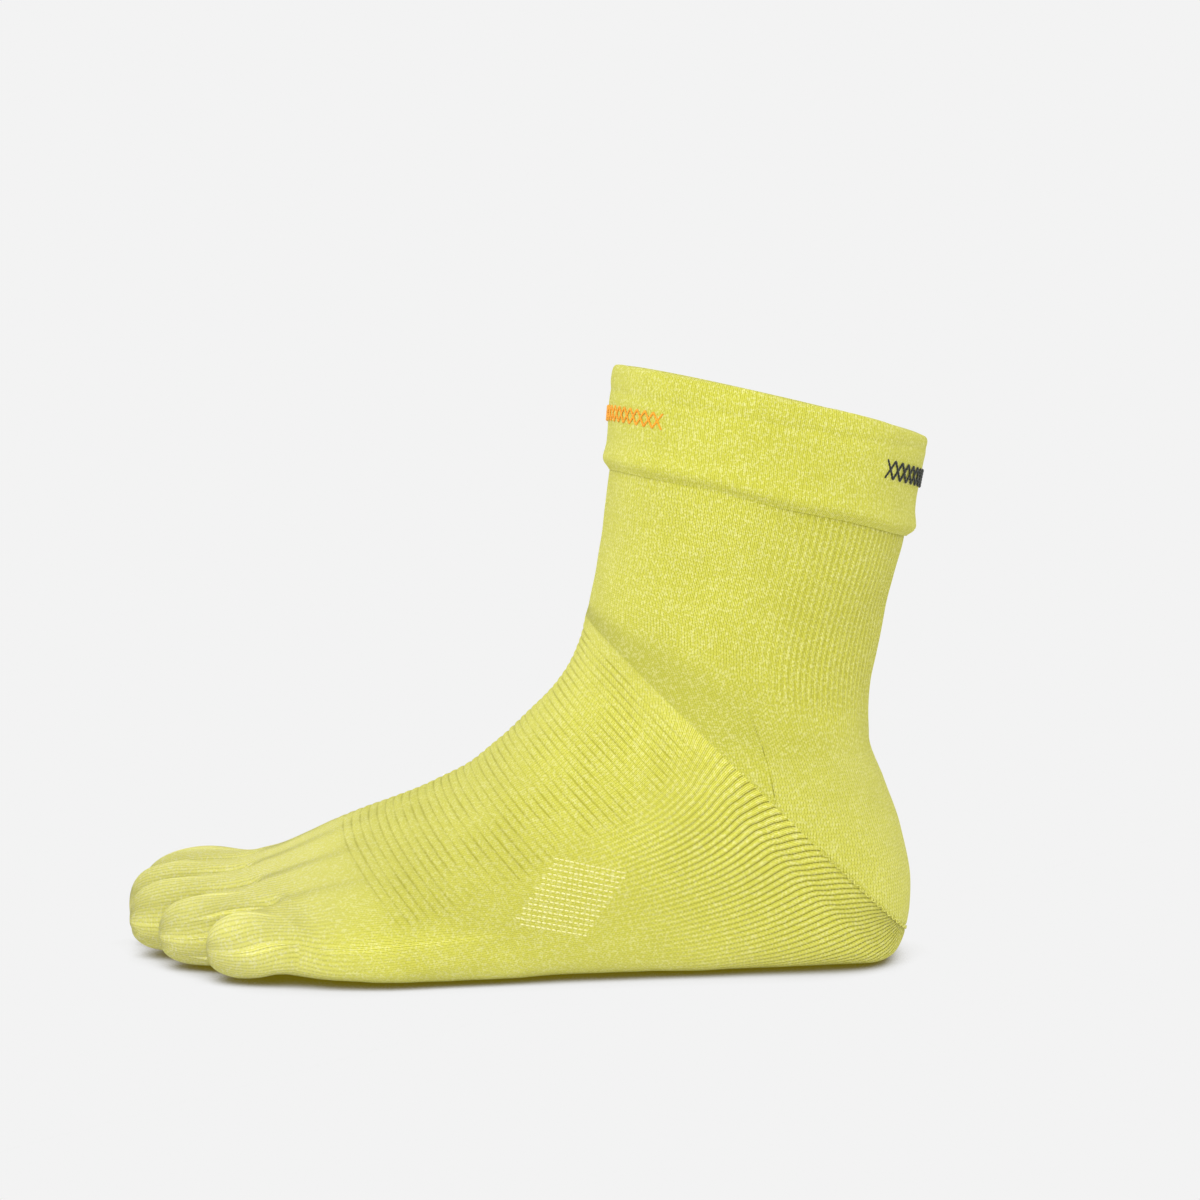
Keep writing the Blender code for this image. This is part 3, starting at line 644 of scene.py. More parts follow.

# %% [markdown]
# Foot relief
#
# The foot carries two patterns. Cross ribs run over the instep, closer together at the ankle than near the
# toes, and fade out down the sides. Below them the wales of the sole stand out as sharp lengthwise lines,
# strongest at the gore and gone at the ball, and only their painted shade comes back, faintly, at the toes.
# Both are height fields added along the outward direction, and the material paints shade into both.

# %% Cross ribs and wale lines
RIB_ROWS = 4
SPLIT_COURSE = 19.0
LAST_RIB_COURSE = 21.4
RIB_PITCH_REAR = 0.0023
RIB_PITCH_FRONT = 0.0031
CROSS_RIB_DEPTH = 0.00042
LINE_DEPTH = 0.00022
LINE_START = 0.010
LINE_FADE = 0.075
# How strongly the painted shade of the wale lines shows at the toes, which have no line grooves.
TOE_LINE_SHADE = 0.42


def rib_edges():
    """The courses of the grooves between cross ribs, with their pitch growing towards the toes."""
    start = front_length(GORE_COURSE)
    end = front_length(LAST_RIB_COURSE)
    found = [start]
    while found[-1] < end:
        share = (found[-1] - start) / (end - start)
        found.append(found[-1] + RIB_PITCH_REAR + (RIB_PITCH_FRONT - RIB_PITCH_REAR) * share)
    return course_at(np.array(found[:-1]))


RIB_EDGES = rib_edges()


def rib_number(course):
    return np.interp(course, RIB_EDGES, np.arange(len(RIB_EDGES)))


# Each fold's middle along x and z, its half width and its height.
SIDE_FOLDS = (
    (-0.078, 0.006, 0.0026, 0.00050),
    (-0.066, 0.007, 0.0024, 0.00045),
    (-0.054, 0.009, 0.0028, 0.00040),
    (-0.040, 0.010, 0.0030, 0.00030),
)
FOLD_LENGTH = 0.017
FOLD_TILT = (0.94, 0.34)


def side_folds(points):
    """Soft slanting folds low on the outer side, where the knit is drawn towards the arch."""
    total = np.zeros(points.shape[:-1])
    for along, low, width, height in SIDE_FOLDS:
        x = points[..., 0] - along
        z = points[..., 2] - low
        far = x * FOLD_TILT[0] + z * FOLD_TILT[1]
        off = z * FOLD_TILT[0] - x * FOLD_TILT[1]
        total += height * np.exp(-((off / width) ** 2) - (far / FOLD_LENGTH) ** 2)
    return total * ease(-points[..., 1] / 0.02)


def foot_relief(course, turn, wale):
    """The height of the knit above the plain surface, how deep in a groove it is and how clear its lines,
    both for painted shade.
    """
    points, share = plain_surface(course, turn)
    ribbed = ease((share - at_course("ribbed", course) + 0.08) / 0.20)
    number = rib_number(course)
    rib = np.abs(np.sin(math.pi * number)) ** 0.75
    in_ribs = ease((RIB_EDGES[-1] + 0.2 - course) / 0.5) * ease(number / 2.0)
    from_gore = side_length(course) - side_length(GORE_COURSE)
    lined = ease((0.74 - share) / 0.30) * (1 - ease((from_gore - LINE_START) / LINE_FADE))
    toeward = ease((course - LAST_RIB_COURSE - 0.1) / 2.0)
    fine = np.abs(np.sin(math.pi * wale * FOOT_RIBS)) ** 0.6
    gore = seam_dip(from_gore) * ease((points[..., 0] + 0.022) / 0.02)
    worn = 0.85 + 0.25 * slow_waves(points, 0.014, 23)
    rib_height = (rib - 1) * CROSS_RIB_DEPTH * ribbed * in_ribs * worn
    line_height = (fine - 1) * LINE_DEPTH * lined * ease(from_gore / 0.003)
    sag = slow_waves(points, 0.03, 21) * 0.00022 + slow_waves(points, 0.011, 22) * 0.00006
    proud = rib_height + line_height + gore + sag * ease(from_gore / 0.01) + side_folds(points)
    groove = np.clip((1 - rib) * ribbed * in_ribs * worn, 0, 1)
    return proud, groove, np.clip(lined + toeward * TOE_LINE_SHADE, 0, 1)


print(len(RIB_EDGES) - 1, "cross ribs")

# %% [markdown]
# The foot in two lengths
#
# The rear of the foot needs many columns for its wale lines, and the front needs columns that end at the
# crotches between the toes. So the foot is laid in two lengths, which meet at the bottom of one cross rib,
# where no join shows.


# %% Rear of the foot
def rows_through_ribs(first, last):
    """Courses that put the same number of rows on every rib between two courses."""
    edges = RIB_EDGES[(RIB_EDGES >= first - 1e-9) & (RIB_EDGES <= last + 1e-9)]
    number = np.linspace(rib_number(edges[0]), rib_number(edges[-1]), (len(edges) - 1) * RIB_ROWS + 1)
    return np.interp(number, np.arange(len(RIB_EDGES)), RIB_EDGES)


SPLIT = float(RIB_EDGES[np.argmin(np.abs(RIB_EDGES - SPLIT_COURSE))])


def make_rear_foot():
    wales = np.linspace(0, 1, FOOT_RIBS * 4 + 1)
    courses = rows_through_ribs(GORE_COURSE, SPLIT)
    near = np.linspace(courses[0], courses[2], 7)[1:-1]
    course = np.sort(np.unique(np.concatenate([courses, near])))[:, None]
    turn = turn_at(course, wales, FOOT_WALES)
    proud, groove, lines = foot_relief(course, turn, wales)
    outer = knit_surface(course, turn, proud)
    inner_course = np.linspace(GORE_COURSE, SPLIT, 8)[:, None]
    inner = knit_surface(inner_course, turn_at(inner_course, wales, FOOT_WALES), -KNIT_WALL)
    counts = stitch_counts(wales, FOOT_RIBS, side_length(course))
    return lay_knit("foot_rear", *closed_wall(outer, inner, counts, groove, lines))


foot_rear = make_rear_foot()
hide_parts("foot")


# %% Columns that end at the crotches between the toes
def root_turn(y, above):
    """The turn at which the last section passes this y, over the top or under the sole."""
    middle = COLUMNS["ridge" if above else "keel"][-1]
    side = ROOT_Y[0] if y < middle else ROOT_Y[-1]
    part = "top" if above else "low"
    curve = COLUMNS[("outer_" if y < middle else "inner_") + part][-1]
    share = min(abs((y - middle) / (side - middle)), 1.0)
    angle = math.asin(share ** (curve / 2)) * (1 if y >= middle else -1)
    return angle if above else math.pi - angle


FRONT_COLUMN_WIDTH = 0.00052
FEWEST_COLUMNS = 6
ROOT_TURNS = [root_turn(y, True) for y in ROOT_Y] + [root_turn(y, False) for y in ROOT_Y[::-1][1:]]
last_lengths = lengths_round[-1]
root_lengths = np.interp(ROOT_TURNS, turns_fine, last_lengths)
arc_counts = np.round(np.diff(root_lengths) / FRONT_COLUMN_WIDTH)
ARC_COLUMNS = np.maximum(FEWEST_COLUMNS, arc_counts).astype(int)
arcs = zip(root_lengths[:-1], root_lengths[1:], ARC_COLUMNS)
arc_places = [np.linspace(start, end, count + 1)[:-1] for start, end, count in arcs]
FRONT_TURNS = np.interp(np.concatenate([*arc_places, root_lengths[-1:]]), last_lengths, turns_fine)
FRONT_WALES = np.linspace(0, 1, len(FRONT_TURNS))
ARC_STARTS = np.concatenate([[0], np.cumsum(ARC_COLUMNS)])
print("columns at the toe roots:", len(FRONT_TURNS), "arcs", ARC_COLUMNS.tolist())


def front_turn(course):
    """The turns of the front's columns, which leave the even wales and end at the crotches."""
    share = ease((course - SPLIT) / (LAST_COURSE - SPLIT))
    even = turn_at(course, FRONT_WALES)
    return even + (FRONT_TURNS - even) * share


# %% Front of the foot
def make_front_foot():
    ribbed = rows_through_ribs(SPLIT, RIB_EDGES[-1])
    plain = np.linspace(RIB_EDGES[-1], LAST_COURSE, 44)[1:]
    course = np.concatenate([ribbed, plain])[:, None]
    turn = front_turn(course)
    proud, groove, lines = foot_relief(course, turn, FRONT_WALES * np.ones(course.shape))
    proud = proud * ease((LAST_COURSE - course) / 0.6)
    outer = knit_surface(course, turn, proud)
    inner_course = np.linspace(SPLIT, LAST_COURSE, 10)[:, None]
    inner = knit_surface(inner_course, front_turn(inner_course), -KNIT_WALL)
    counts = stitch_counts(FRONT_WALES, FOOT_RIBS, side_length(course))
    piece = lay_knit("foot_front", *closed_wall(outer, inner, counts, groove, lines))
    return piece, outer[-1], outer[-1] - outer[-2]


foot_front, root_ring, root_slope = make_front_foot()
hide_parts("foot")

# %% [markdown]
# The toes
#
# Each toe pocket starts from the piece of the foot's front edge between two crotches, so no seam shows
# there, and turns into its own rounded section on the way to the tip. Between two toes the wall runs
# straight from the upper crotch to the lower one. Two of the tips show the small gathered seam that closes
# them.

# %% One toe pocket
TOE_ROWS = 56
WEB_COLUMNS = 26
TOE_ROOT_CURVE = 4.5
TOE_END_CURVE = 2.3
TOE_SETTLED = 0.75
TOE_BEND = 0.004


def toe_ring(number):
    """The closed ring of root points of a toe: over the top, down a web, under the sole, up the other web."""
    top = slice(ARC_STARTS[number], ARC_STARTS[number + 1] + 1)
    low = slice(ARC_STARTS[9 - number], ARC_STARTS[10 - number] + 1)
    over = root_ring[top]
    under = root_ring[low]
    share = np.linspace(0, 1, WEB_COLUMNS + 1)[1:-1, None]
    parts = [over]
    slopes = [root_slope[top]]
    forward = np.array([-np.linalg.norm(root_slope[top].mean(axis=0)), 0, 0])
    if number < 4:
        parts.append(over[-1] + (under[0] - over[-1]) * share)
        slopes.append(np.repeat(forward[None], len(share), axis=0))
    parts.append(under if number < 4 else under[1:])
    slopes.append(root_slope[low] if number < 4 else root_slope[low][1:])
    if number > 0:
        parts.append(under[-1] + (over[0] - under[-1]) * share)
        slopes.append(np.repeat(forward[None], len(share), axis=0))
    else:
        parts[-1] = parts[-1][:-1]
        slopes[-1] = slopes[-1][:-1]
    ring = np.concatenate(parts)
    slope = np.concatenate(slopes)
    return np.concatenate([ring, ring[:1]]), np.concatenate([slope, slope[:1]])


PUCKER_HEIGHT = 0.0011
# Each pucker's place as x, y and z, its reach sideways and its depth.
PUCKERS = {
    "fourth_toe": (-0.1815, -0.0275, 0.0062, 0.0045, 0.0008),
    "third_toe": (-0.1935, -0.0110, 0.0074, 0.0040, 0.0006),
}


def pucker(points, name):
    """Draws in the gathered seam at a toe's tip: a short level groove at a place on it."""
    if name not in PUCKERS:
        return points
    x, y, z, reach, depth = PUCKERS[name]
    across = np.hypot(points[..., 0] - x, points[..., 1] - y)
    pull = np.exp(-((across / reach) ** 2) - ((points[..., 2] - z) / PUCKER_HEIGHT) ** 2) * depth
    moved = points.copy()
    moved[..., 0] += pull * 0.8
    moved[..., 1] += pull * 0.5
    return moved


# %% The outline of a toe
def toe_sizes(name):
    """A toe's row of the table, with its places in metres."""
    tip = dict(zip(TOE_COLUMNS, TOES[name]))
    tip["tip_x"] *= FOOT_LENGTH
    tip["tip_y"] *= FOOT_WIDTH
    for key in ("top", "bottom", "tip_z"):
        tip[key] = tip[key] * ANKLE_HEIGHT - KNIT_WALL
    return tip


def tip_rows(blunt, length, half):
    """How far along the toe each row lies, how wide open it is there, and the length of the outline."""
    fine = np.linspace(0, 0.5 * math.pi, 600)
    along_fine = np.sin(fine) ** (2 / blunt)
    close_fine = np.cos(fine) ** (2 / TOE_END_CURVE)
    path = np.hypot(np.diff(along_fine) * length, np.diff(close_fine) * half)
    path = np.concatenate([[0], np.cumsum(path)])
    angles = np.interp(np.linspace(0, path[-1], TOE_ROWS), path, fine)[:, None]
    close = np.cos(angles) ** (2 / TOE_END_CURVE)
    close[-1] = 0.0
    return np.sin(angles) ** (2 / blunt), close, path[-1]


def toe_surface(tip, ring, slope, centre, half, along, close):
    """The toe's outer rows, from its root to its tip, and the angle round the toe of each column."""
    row = {key: values[-1] for key, values in COLUMNS.items()}
    root_z = row["back_z"] + (row["front_z"] - row["back_z"]) * row["widest"] - KNIT_WALL
    rise = row["front_z"] - KNIT_WALL - root_z
    fall = root_z - row["back_z"] + KNIT_WALL
    root_side = (ring[:, 1] - centre) / half
    root_height = (ring[:, 2] - root_z) / np.where(ring[:, 2] >= root_z, rise, fall)
    around = np.arctan2(root_side, root_height)
    curve = TOE_ROOT_CURVE + (TOE_END_CURVE - TOE_ROOT_CURVE) * ease(along / 0.8)
    settle = ease(along / TOE_SETTLED)
    side = root_side + (power(np.sin(around), 2 / curve) - root_side) * settle
    height = root_height + (power(np.cos(around), 2 / curve) - root_height) * settle
    upward = rise + (tip["top"] - tip["tip_z"] - rise) * settle
    downward = fall + (tip["tip_z"] - tip["bottom"] - fall) * settle
    x = ring[:, 0] + (tip["tip_x"] - ring[:, 0]) * along
    y = centre + (tip["tip_y"] - centre) * along**2 + half * (1 - TOE_TAPER * along) * side * close
    z = root_z + (tip["tip_z"] - root_z) * settle + np.where(height >= 0, upward, downward) * height * close
    forward = ring[:, 0] - x
    lean = slope[:, 2] / np.maximum(np.abs(slope[:, 0]), 1e-6) * (slope[:, 0] < 0)
    drift = np.clip(lean, -0.5, 0.5) * TOE_BEND * (1 - np.exp(-forward / TOE_BEND)) * (1 - settle)
    return np.stack([x, y, z + drift], axis=-1), around


# %% Toe pockets
def make_toe(name, number):
    tip = toe_sizes(name)
    centre = (ROOT_Y[number] + ROOT_Y[number + 1]) / 2
    half = (ROOT_Y[number + 1] - ROOT_Y[number]) / 2
    ring, slope = toe_ring(number)
    along, close, length = tip_rows(tip["blunt"], abs(tip["tip_x"] - root_x(centre)), half)
    outer, around = toe_surface(tip, ring, slope, centre, half, along, close)
    sag = slow_waves(outer, 0.012, 40 + number) * 0.00025 * ease(along / 0.3) * close
    away = np.stack([np.zeros(around.shape), np.sin(around), np.cos(around)], axis=-1)
    outer = pucker(outer + away * sag[..., None], name)
    middle = outer.mean(axis=1, keepdims=True)[::7]
    inner = middle + (outer[::7] - middle) * (1 - KNIT_WALL / half)
    inner[..., 0] += KNIT_WALL * ease(along[::7] / 0.8)
    inner = np.concatenate([inner, inner[-1:].mean(axis=1, keepdims=True) * np.ones(inner[-1:].shape)])
    girth = np.concatenate([[0], np.cumsum(np.linalg.norm(np.diff(ring, axis=0), axis=1))])
    wales = FRONT_WALES[ARC_STARTS[number]] + girth / GIRTH[-1]
    lengths = side_length(LAST_COURSE) + length * np.linspace(0, 1, TOE_ROWS)[:, None]
    counts = stitch_counts(wales, FOOT_RIBS, lengths)
    rows = np.concatenate([inner[::-1], outer])
    counts = np.concatenate([np.repeat(counts[:1], len(inner), axis=0), counts])
    return lay_knit(name + "_pocket", rows, counts, lines=np.full(rows.shape[:2], TOE_LINE_SHADE))


toes = {}
for number, name in enumerate(reversed(list(TOES))):
    toes[name] = make_toe(name, number)
    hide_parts(name)

# %% [markdown]
# Yarn
#
# All zones share one recipe for knit, fed with their own counts and colours. Sums on sockets are easier to
# read as Python, so a small class wraps an output socket and turns each sign into a Math node.


# %% Shader sums in Python
class Wire:
    """One output socket of a material, which can be used in sums."""

    def __init__(self, yarn, socket):
        self.yarn = yarn
        self.socket = socket

    def __add__(self, other):
        return self.yarn.math("ADD", self, other)

    def __radd__(self, other):
        return self.yarn.math("ADD", other, self)

    def __sub__(self, other):
        return self.yarn.math("SUBTRACT", self, other)

    def __rsub__(self, other):
        return self.yarn.math("SUBTRACT", other, self)

    def __mul__(self, other):
        return self.yarn.math("MULTIPLY", self, other)

    def __rmul__(self, other):
        return self.yarn.math("MULTIPLY", other, self)

    def __abs__(self):
        return self.yarn.math("ABSOLUTE", self)


class Yarn:
    """A material with one method that adds any node, and short names for the few that are used often."""

    def __init__(self, name):
        self.material = bpy.data.materials.new(name)
        self.material.use_nodes = True
        self.tree = self.material.node_tree
        self.shader = self.tree.nodes["Principled BSDF"]

    def feed(self, socket, value):
        if isinstance(value, Wire):
            self.tree.links.new(value.socket, socket)
        else:
            socket.default_value = value

    def node(self, kind, settings, sockets, output=0):
        node = self.tree.nodes.new(kind)
        for name, value in settings.items():
            setattr(node, name, value)
        for name, value in sockets.items():
            self.feed(node.inputs[name], value)
        return Wire(self, node.outputs[output])

    def math(self, operation, *values):
        return self.node("ShaderNodeMath", {"operation": operation}, dict(enumerate(values)))

    def mix(self, share, first, second):
        """A colour between two. The Mix node's colour sockets share their names, so they go by number."""
        return self.node("ShaderNodeMix", {"data_type": "RGBA"}, {0: share, 6: first, 7: second}, 2)

    def smooth(self, value, low, high):
        settings = {"interpolation_type": "SMOOTHSTEP"}
        return self.node("ShaderNodeMapRange", settings, {"Value": value, "From Min": low, "From Max": high})

    def noise(self, vector, scale, detail=2.0):
        sockets = {"Vector": vector, "Scale": scale, "Detail": detail, "Roughness": 0.6}
        return self.node("ShaderNodeTexNoise", {}, sockets)

    def set(self, **values):
        for name, value in values.items():
            self.feed(self.shader.inputs[name.replace("_", " ")], value)


def linear(red, green, blue):
    """A colour as it is read off a screen, turned into light."""
    srgb = np.array((red, green, blue)) / 255
    light = np.where(srgb <= 0.04045, srgb / 12.92, ((srgb + 0.055) / 1.055) ** 2.4)
    return (*light.tolist(), 1.0)


# %% [markdown]
# The knit material
#
# A loop of plain knit shows as a small V: two legs of yarn that lean away from the middle of the wale. Height
# is made from that: it falls towards the edges of the wale and in steps along each leg. The same height feeds
# the bump and paints shade into the gaps between the yarns, and the rib grooves get painted shade too. The
# dark lines along the sole's wales are painted shade of their narrow grooves. Noise moves the stitches about
# a little and adds pale flecks like a melange yarn and slow darker patches, and sheen gives the soft bright
# edge of short fibres. Towards the toes the foot's knit grows smoother, with less painted shade between the
# yarns, and paler, which is painted sheen, over a length that foot and toes share.


# %% Knit
# Colour of the painted shade along the wale lines.
LINE_SHADE_COLOUR = linear(138, 132, 10)
FRONT_START = 0.105
FRONT_END = 0.160


def knit_material(name, colours, loops, flecks, groove=1.0, rows=0.55, bump=0.0003, front=None):
    """Knit in yarn, painted shade and pale fleck colours. The front, if given, takes over towards the toes.
    """
    yarn = Yarn(name)
    stitches = yarn.node("ShaderNodeUVMap", {"uv_map": "stitches"}, {})
    place = yarn.node("ShaderNodeTexCoord", {}, {}, "Object")
    yarn_colour, shade_and_patch_colour, pale_colour = colours
    if front:
        forward = yarn.node("ShaderNodeSeparateXYZ", {}, {"Vector": place}, "X")
        toeward = yarn.smooth(forward * -1.0, FRONT_START, FRONT_END)
        pairs = zip(colours, front["colours"])
        yarn_colour, shade_and_patch_colour, pale_colour = (yarn.mix(toeward, rear, fore) for rear, fore in pairs)
        loops = loops + (front["loops"] - loops) * toeward
        rows = rows + (front["rows"] - rows) * toeward
    u = yarn.node("ShaderNodeSeparateXYZ", {}, {"Vector": stitches}, "X")
    v = yarn.node("ShaderNodeSeparateXYZ", {}, {"Vector": stitches}, "Y")
    wander = yarn.noise(stitches, 0.35) - 0.5
    u = u + wander * 0.35
    v = v + (yarn.noise(place, 420.0) - 0.5) * 0.5
    across = abs(yarn.math("FRACT", u) - 0.5) * 2.0
    leg = 1.0 - abs(across - 0.45) * 1.6
    along = yarn.math("FRACT", v + across * 0.55)
    loop = 1.0 - abs(along - 0.5) * 2.0
    height = yarn.math("MAXIMUM", leg, 0.0) * ((1.0 - rows) + rows * yarn.math("SQRT", loop))
    fibre = yarn.noise(place, 2600.0, 3.0)
    blotch = yarn.noise(place, 1150.0)
    deep = yarn.node("ShaderNodeAttribute", {"attribute_name": "groove"}, {}, "Fac")
    clear = yarn.node("ShaderNodeAttribute", {"attribute_name": "lines"}, {}, "Fac")
    # Painted shade of the narrow wale grooves: beaded dark lines where the lines attribute asks for them,
    # also sunk by the bump.
    to_line = abs(yarn.math("FRACT", u * 0.5 + 0.25) - 0.5)
    beads = 0.45 + 0.55 * abs(yarn.math("SINE", v * (1.25 * math.pi)))
    line = (1.0 - yarn.smooth(to_line, 0.05, 0.20)) * clear * beads
    # Painted shade: the spaces between the yarns, and the rib grooves, take the darker colour.
    gap_shade = yarn.smooth(1.0 - height, 0.25, 0.95) * loops
    gap_shade = yarn.math("MAXIMUM", gap_shade, yarn.smooth(deep, 0.2, 1.0) * groove)
    colour = yarn.mix(gap_shade, yarn_colour, shade_and_patch_colour)
    fleck = yarn.smooth(blotch + (fibre - 0.5) * 0.6, 0.48, 0.66) * flecks * (1.0 - gap_shade)
    colour = yarn.mix(fleck, colour, pale_colour)
    # Slow darker patches at random, in the same darker colour.
    slow = yarn.smooth(yarn.noise(place, 60.0), 0.3, 0.7) * 0.08
    colour = yarn.mix(slow, colour, shade_and_patch_colour)
    colour = yarn.mix(line * 0.9, colour, LINE_SHADE_COLOUR)
    relief = height * 0.8 + fibre * 0.5 - line * 1.2
    normal = yarn.node("ShaderNodeBump", {}, {"Strength": 1.0, "Distance": bump, "Height": relief})
    yarn.set(Base_Color=colour, Roughness=0.88 + 0.1 * gap_shade, Normal=normal)
    yarn.set(Specular_IOR_Level=0.15, Sheen_Weight=0.35, Sheen_Roughness=0.5)
    yarn.set(Sheen_Tint=linear(255, 250, 190))
    print(name, "nodes", len(yarn.tree.nodes))
    return yarn.material


# Each knit's second colour is the darker one of its painted shade between the yarns and in the rib grooves,
# also used for its slow patches.
LEAF = linear(233, 232, 96)
GAP_SHADE_AND_PATCH = linear(160, 156, 10)
PALE = linear(250, 248, 165)
# The toes' paler yarn colour is painted sheen of the fuzzy toes; their second colour, less dark, paints less
# shade between the yarns.
TOE_SHEEN_COLOURS = (linear(245, 241, 132), linear(196, 192, 60), linear(253, 250, 190))
front = {"colours": TOE_SHEEN_COLOURS, "loops": 0.5, "rows": 0.1}
foot_colours = (linear(241, 239, 104), linear(162, 156, 8), PALE)
cuff_knit = knit_material("cuff plain knit", (linear(226, 225, 88), GAP_SHADE_AND_PATCH, PALE), 0.65, 0.75, rows=0.5)
leg_knit = knit_material("leg rib knit", (LEAF, GAP_SHADE_AND_PATCH, PALE), 0.85, 0.9, 0.7)
heel_knit = knit_material("heel plain knit", (linear(240, 239, 108), GAP_SHADE_AND_PATCH, PALE), 0.95, 0.9)
foot_knit = knit_material("foot knit", foot_colours, 0.75, 0.85, 0.65, 0.4, front=front)
toe_knit = knit_material("toe knit", foot_colours, 0.75, 0.85, 0.65, 0.4, front=front)


def dress(piece, material):
    piece.data.materials.clear()
    piece.data.materials.append(material)


dress(cuff, cuff_knit)
dress(leg, leg_knit)
dress(heel, heel_knit)
dress(foot_rear, foot_knit)
dress(foot_front, foot_knit)
for toe in toes.values():
    dress(toe, toe_knit)

# %% [markdown]
# Stitches on the knit
#
# Three details are yarn laid on the surface: the zigzag that locks the gore, a slanted field of pale dashes
# over the outer arch, and a row of crossed stitches in coloured thread on the welt, front and back. One
# stitch is modelled, a flattened ball, and copied to each place, turned to lie along its row.


# %% One stitch, copied
def sew(name, places, size, material):
    """Copies one stitch, given as length, width and rise, to each place.

    A place is a point, the outward direction and the way the stitch runs.
    """
    bpy.ops.object.select_all(action="DESELECT")
    bpy.ops.mesh.primitive_uv_sphere_add(segments=8, ring_count=6, radius=0.5, location=(0, 0, 0))
    first = bpy.context.object
    first.data.transform(Matrix.Diagonal((*size, 1)))
    copies = []
    for point, up, way in places:
        up = Vector(up).normalized()
        side = up.cross(Vector(way)).normalized()
        turned = Matrix((side.cross(up), side, up)).transposed().to_4x4()
        mesh = first.data.copy()
        mesh.transform(Matrix.Translation(Vector(point)) @ turned)
        copy = bpy.data.objects.new(name, mesh)
        bpy.context.scene.collection.objects.link(copy)
        copies.append(copy)
    bpy.data.objects.remove(first, do_unlink=True)
    for copy in copies:
        copy.select_set(True)
    bpy.context.view_layer.objects.active = copies[0]
    bpy.ops.object.join()
    piece = bpy.context.object
    piece.name = name
    bpy.ops.object.shade_smooth()
    dress(piece, material)
    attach(piece, "root")
    print(name, "stitches", len(places))
    return piece


def thread_material(name, colour, dark):
    thread = Yarn(name)
    place = thread.node("ShaderNodeTexCoord", {}, {}, "Object")
    strand = thread.noise(place, 3500.0)
    thread.set(Base_Color=thread.mix(thread.smooth(strand, 0.35, 0.65), dark, colour), Roughness=0.75)
    relief = thread.node("ShaderNodeBump", {}, {"Strength": 0.8, "Distance": 0.0002, "Height": strand})
    thread.set(Normal=relief)
    thread.set(Sheen_Weight=0.3, Specular_IOR_Level=0.25)
    return thread.material


# %% Gore stitches
GORE_STITCH_TURNS = (0.56, 0.93)
GORE_STITCH_PROUD = 0.00006
GORE_STITCH_PITCH = 0.00135
GORE_STITCH = (0.0019, 0.00048, 0.0005)


def gore_places(side):
    """Short stitches that cross the gore line one way and the other, down one side of the ankle."""
    turns = side * np.linspace(*GORE_STITCH_TURNS, 64) * math.pi
    points = knit_surface(GORE_COURSE, turns, GORE_STITCH_PROUD)
    ups = outward(GORE_COURSE, turns)
    along = np.gradient(points, axis=0)
    lengths = np.concatenate([[0], np.cumsum(np.linalg.norm(np.diff(points, axis=0), axis=1))])
    places = []
    for number, at in enumerate(np.arange(0, lengths[-1], GORE_STITCH_PITCH)):
        point = np.array([np.interp(at, lengths, points[:, k]) for k in range(3)])
        up = np.array([np.interp(at, lengths, ups[:, k]) for k in range(3)])
        way = np.array([np.interp(at, lengths, along[:, k]) for k in range(3)])
        way /= np.linalg.norm(way)
        across = np.cross(up, way)
        places.append((point, up, way + across * (0.9 if number % 2 else -0.9)))
    return places


gore_thread = thread_material("gore thread", linear(240, 238, 128), linear(186, 182, 50))
gore_sides = gore_places(-1) + gore_places(1)
sew("gore_stitches", gore_sides, GORE_STITCH, gore_thread)

# %% [markdown]
# The pale field
#
# The field's corners lie at measured places on the outer side. Each dash is dropped straight onto the foot
# from outside, so that it lies on the knit whatever the shape below.

# %% Pale dashes over the arch
FIELD = np.array(((-0.0602, 0.0357), (-0.0385, 0.0314), (-0.0512, 0.0118), (-0.0735, 0.0164)))
FIELD_ROWS = 14
FIELD_DASHES = 14
DASH = (0.0014, 0.00052, 0.00038)


def field_places():
    bpy.context.view_layer.update()
    across = FIELD[1] - FIELD[0]
    down = FIELD[3] - FIELD[0]
    places = []
    for row in range(FIELD_ROWS):
        for dash in range(FIELD_DASHES):
            share = (dash + 0.5 * (row % 2) + 0.25) / FIELD_DASHES
            x, z = FIELD[0] + across * share + down * (row + 0.5) / FIELD_ROWS
            found, point, up, _ = foot_rear.ray_cast((x, -2 * FOOT_WIDTH, z), (0, 1, 0))
            if found:
                places.append((point, up, (across[0], 0.0, across[1])))
    return places


pale_thread = thread_material("pale arch thread", linear(252, 248, 190), linear(232, 226, 130))
sew("arch_dashes", field_places(), DASH, pale_thread)


# %% Crossed stitches on the welt
SIDE_STITCHES = 6


def zigzag_places(start, end, middle, height, teeth, phase):
    """Stitches end to end along a zigzag round the welt, between two turns. The phase is 0 or 1."""
    corners = np.arange(teeth + 1)
    turns = start + (end - start) * corners / teeth
    downs = middle + height * ((corners + phase) % 2 - 0.5)
    places = []
    for number in range(teeth):
        share = (np.arange(SIDE_STITCHES) + 0.5) / SIDE_STITCHES
        turn = turns[number] + (turns[number + 1] - turns[number]) * share
        down = downs[number] + (downs[number + 1] - downs[number]) * share
        course = course_at(down)
        points = knit_surface(course, turn, CUFF_STEP * 0.98)
        ups = outward(course, turn)
        way = points[-1] - points[0]
        places += [(point, up, way) for point, up in zip(points, ups)]
    return places


orange_thread = thread_material("orange thread", linear(255, 184, 40), linear(236, 146, 20))
dark_thread = thread_material("dark thread", linear(44, 50, 40), linear(18, 20, 16))
front_places = []
back_places = []
for phase in (0, 1):
    front_places += zigzag_places(-0.27 * math.pi, 0.27 * math.pi, 0.0150, 0.0046, 22, phase)
    back_places += zigzag_places(0.74 * math.pi, 1.26 * math.pi, 0.0140, 0.0056, 20, phase)
sew("front_diamonds", front_places, (0.0014, 0.00075, 0.0006), orange_thread)
sew("back_diamonds", back_places, (0.0016, 0.00085, 0.0006), dark_thread)
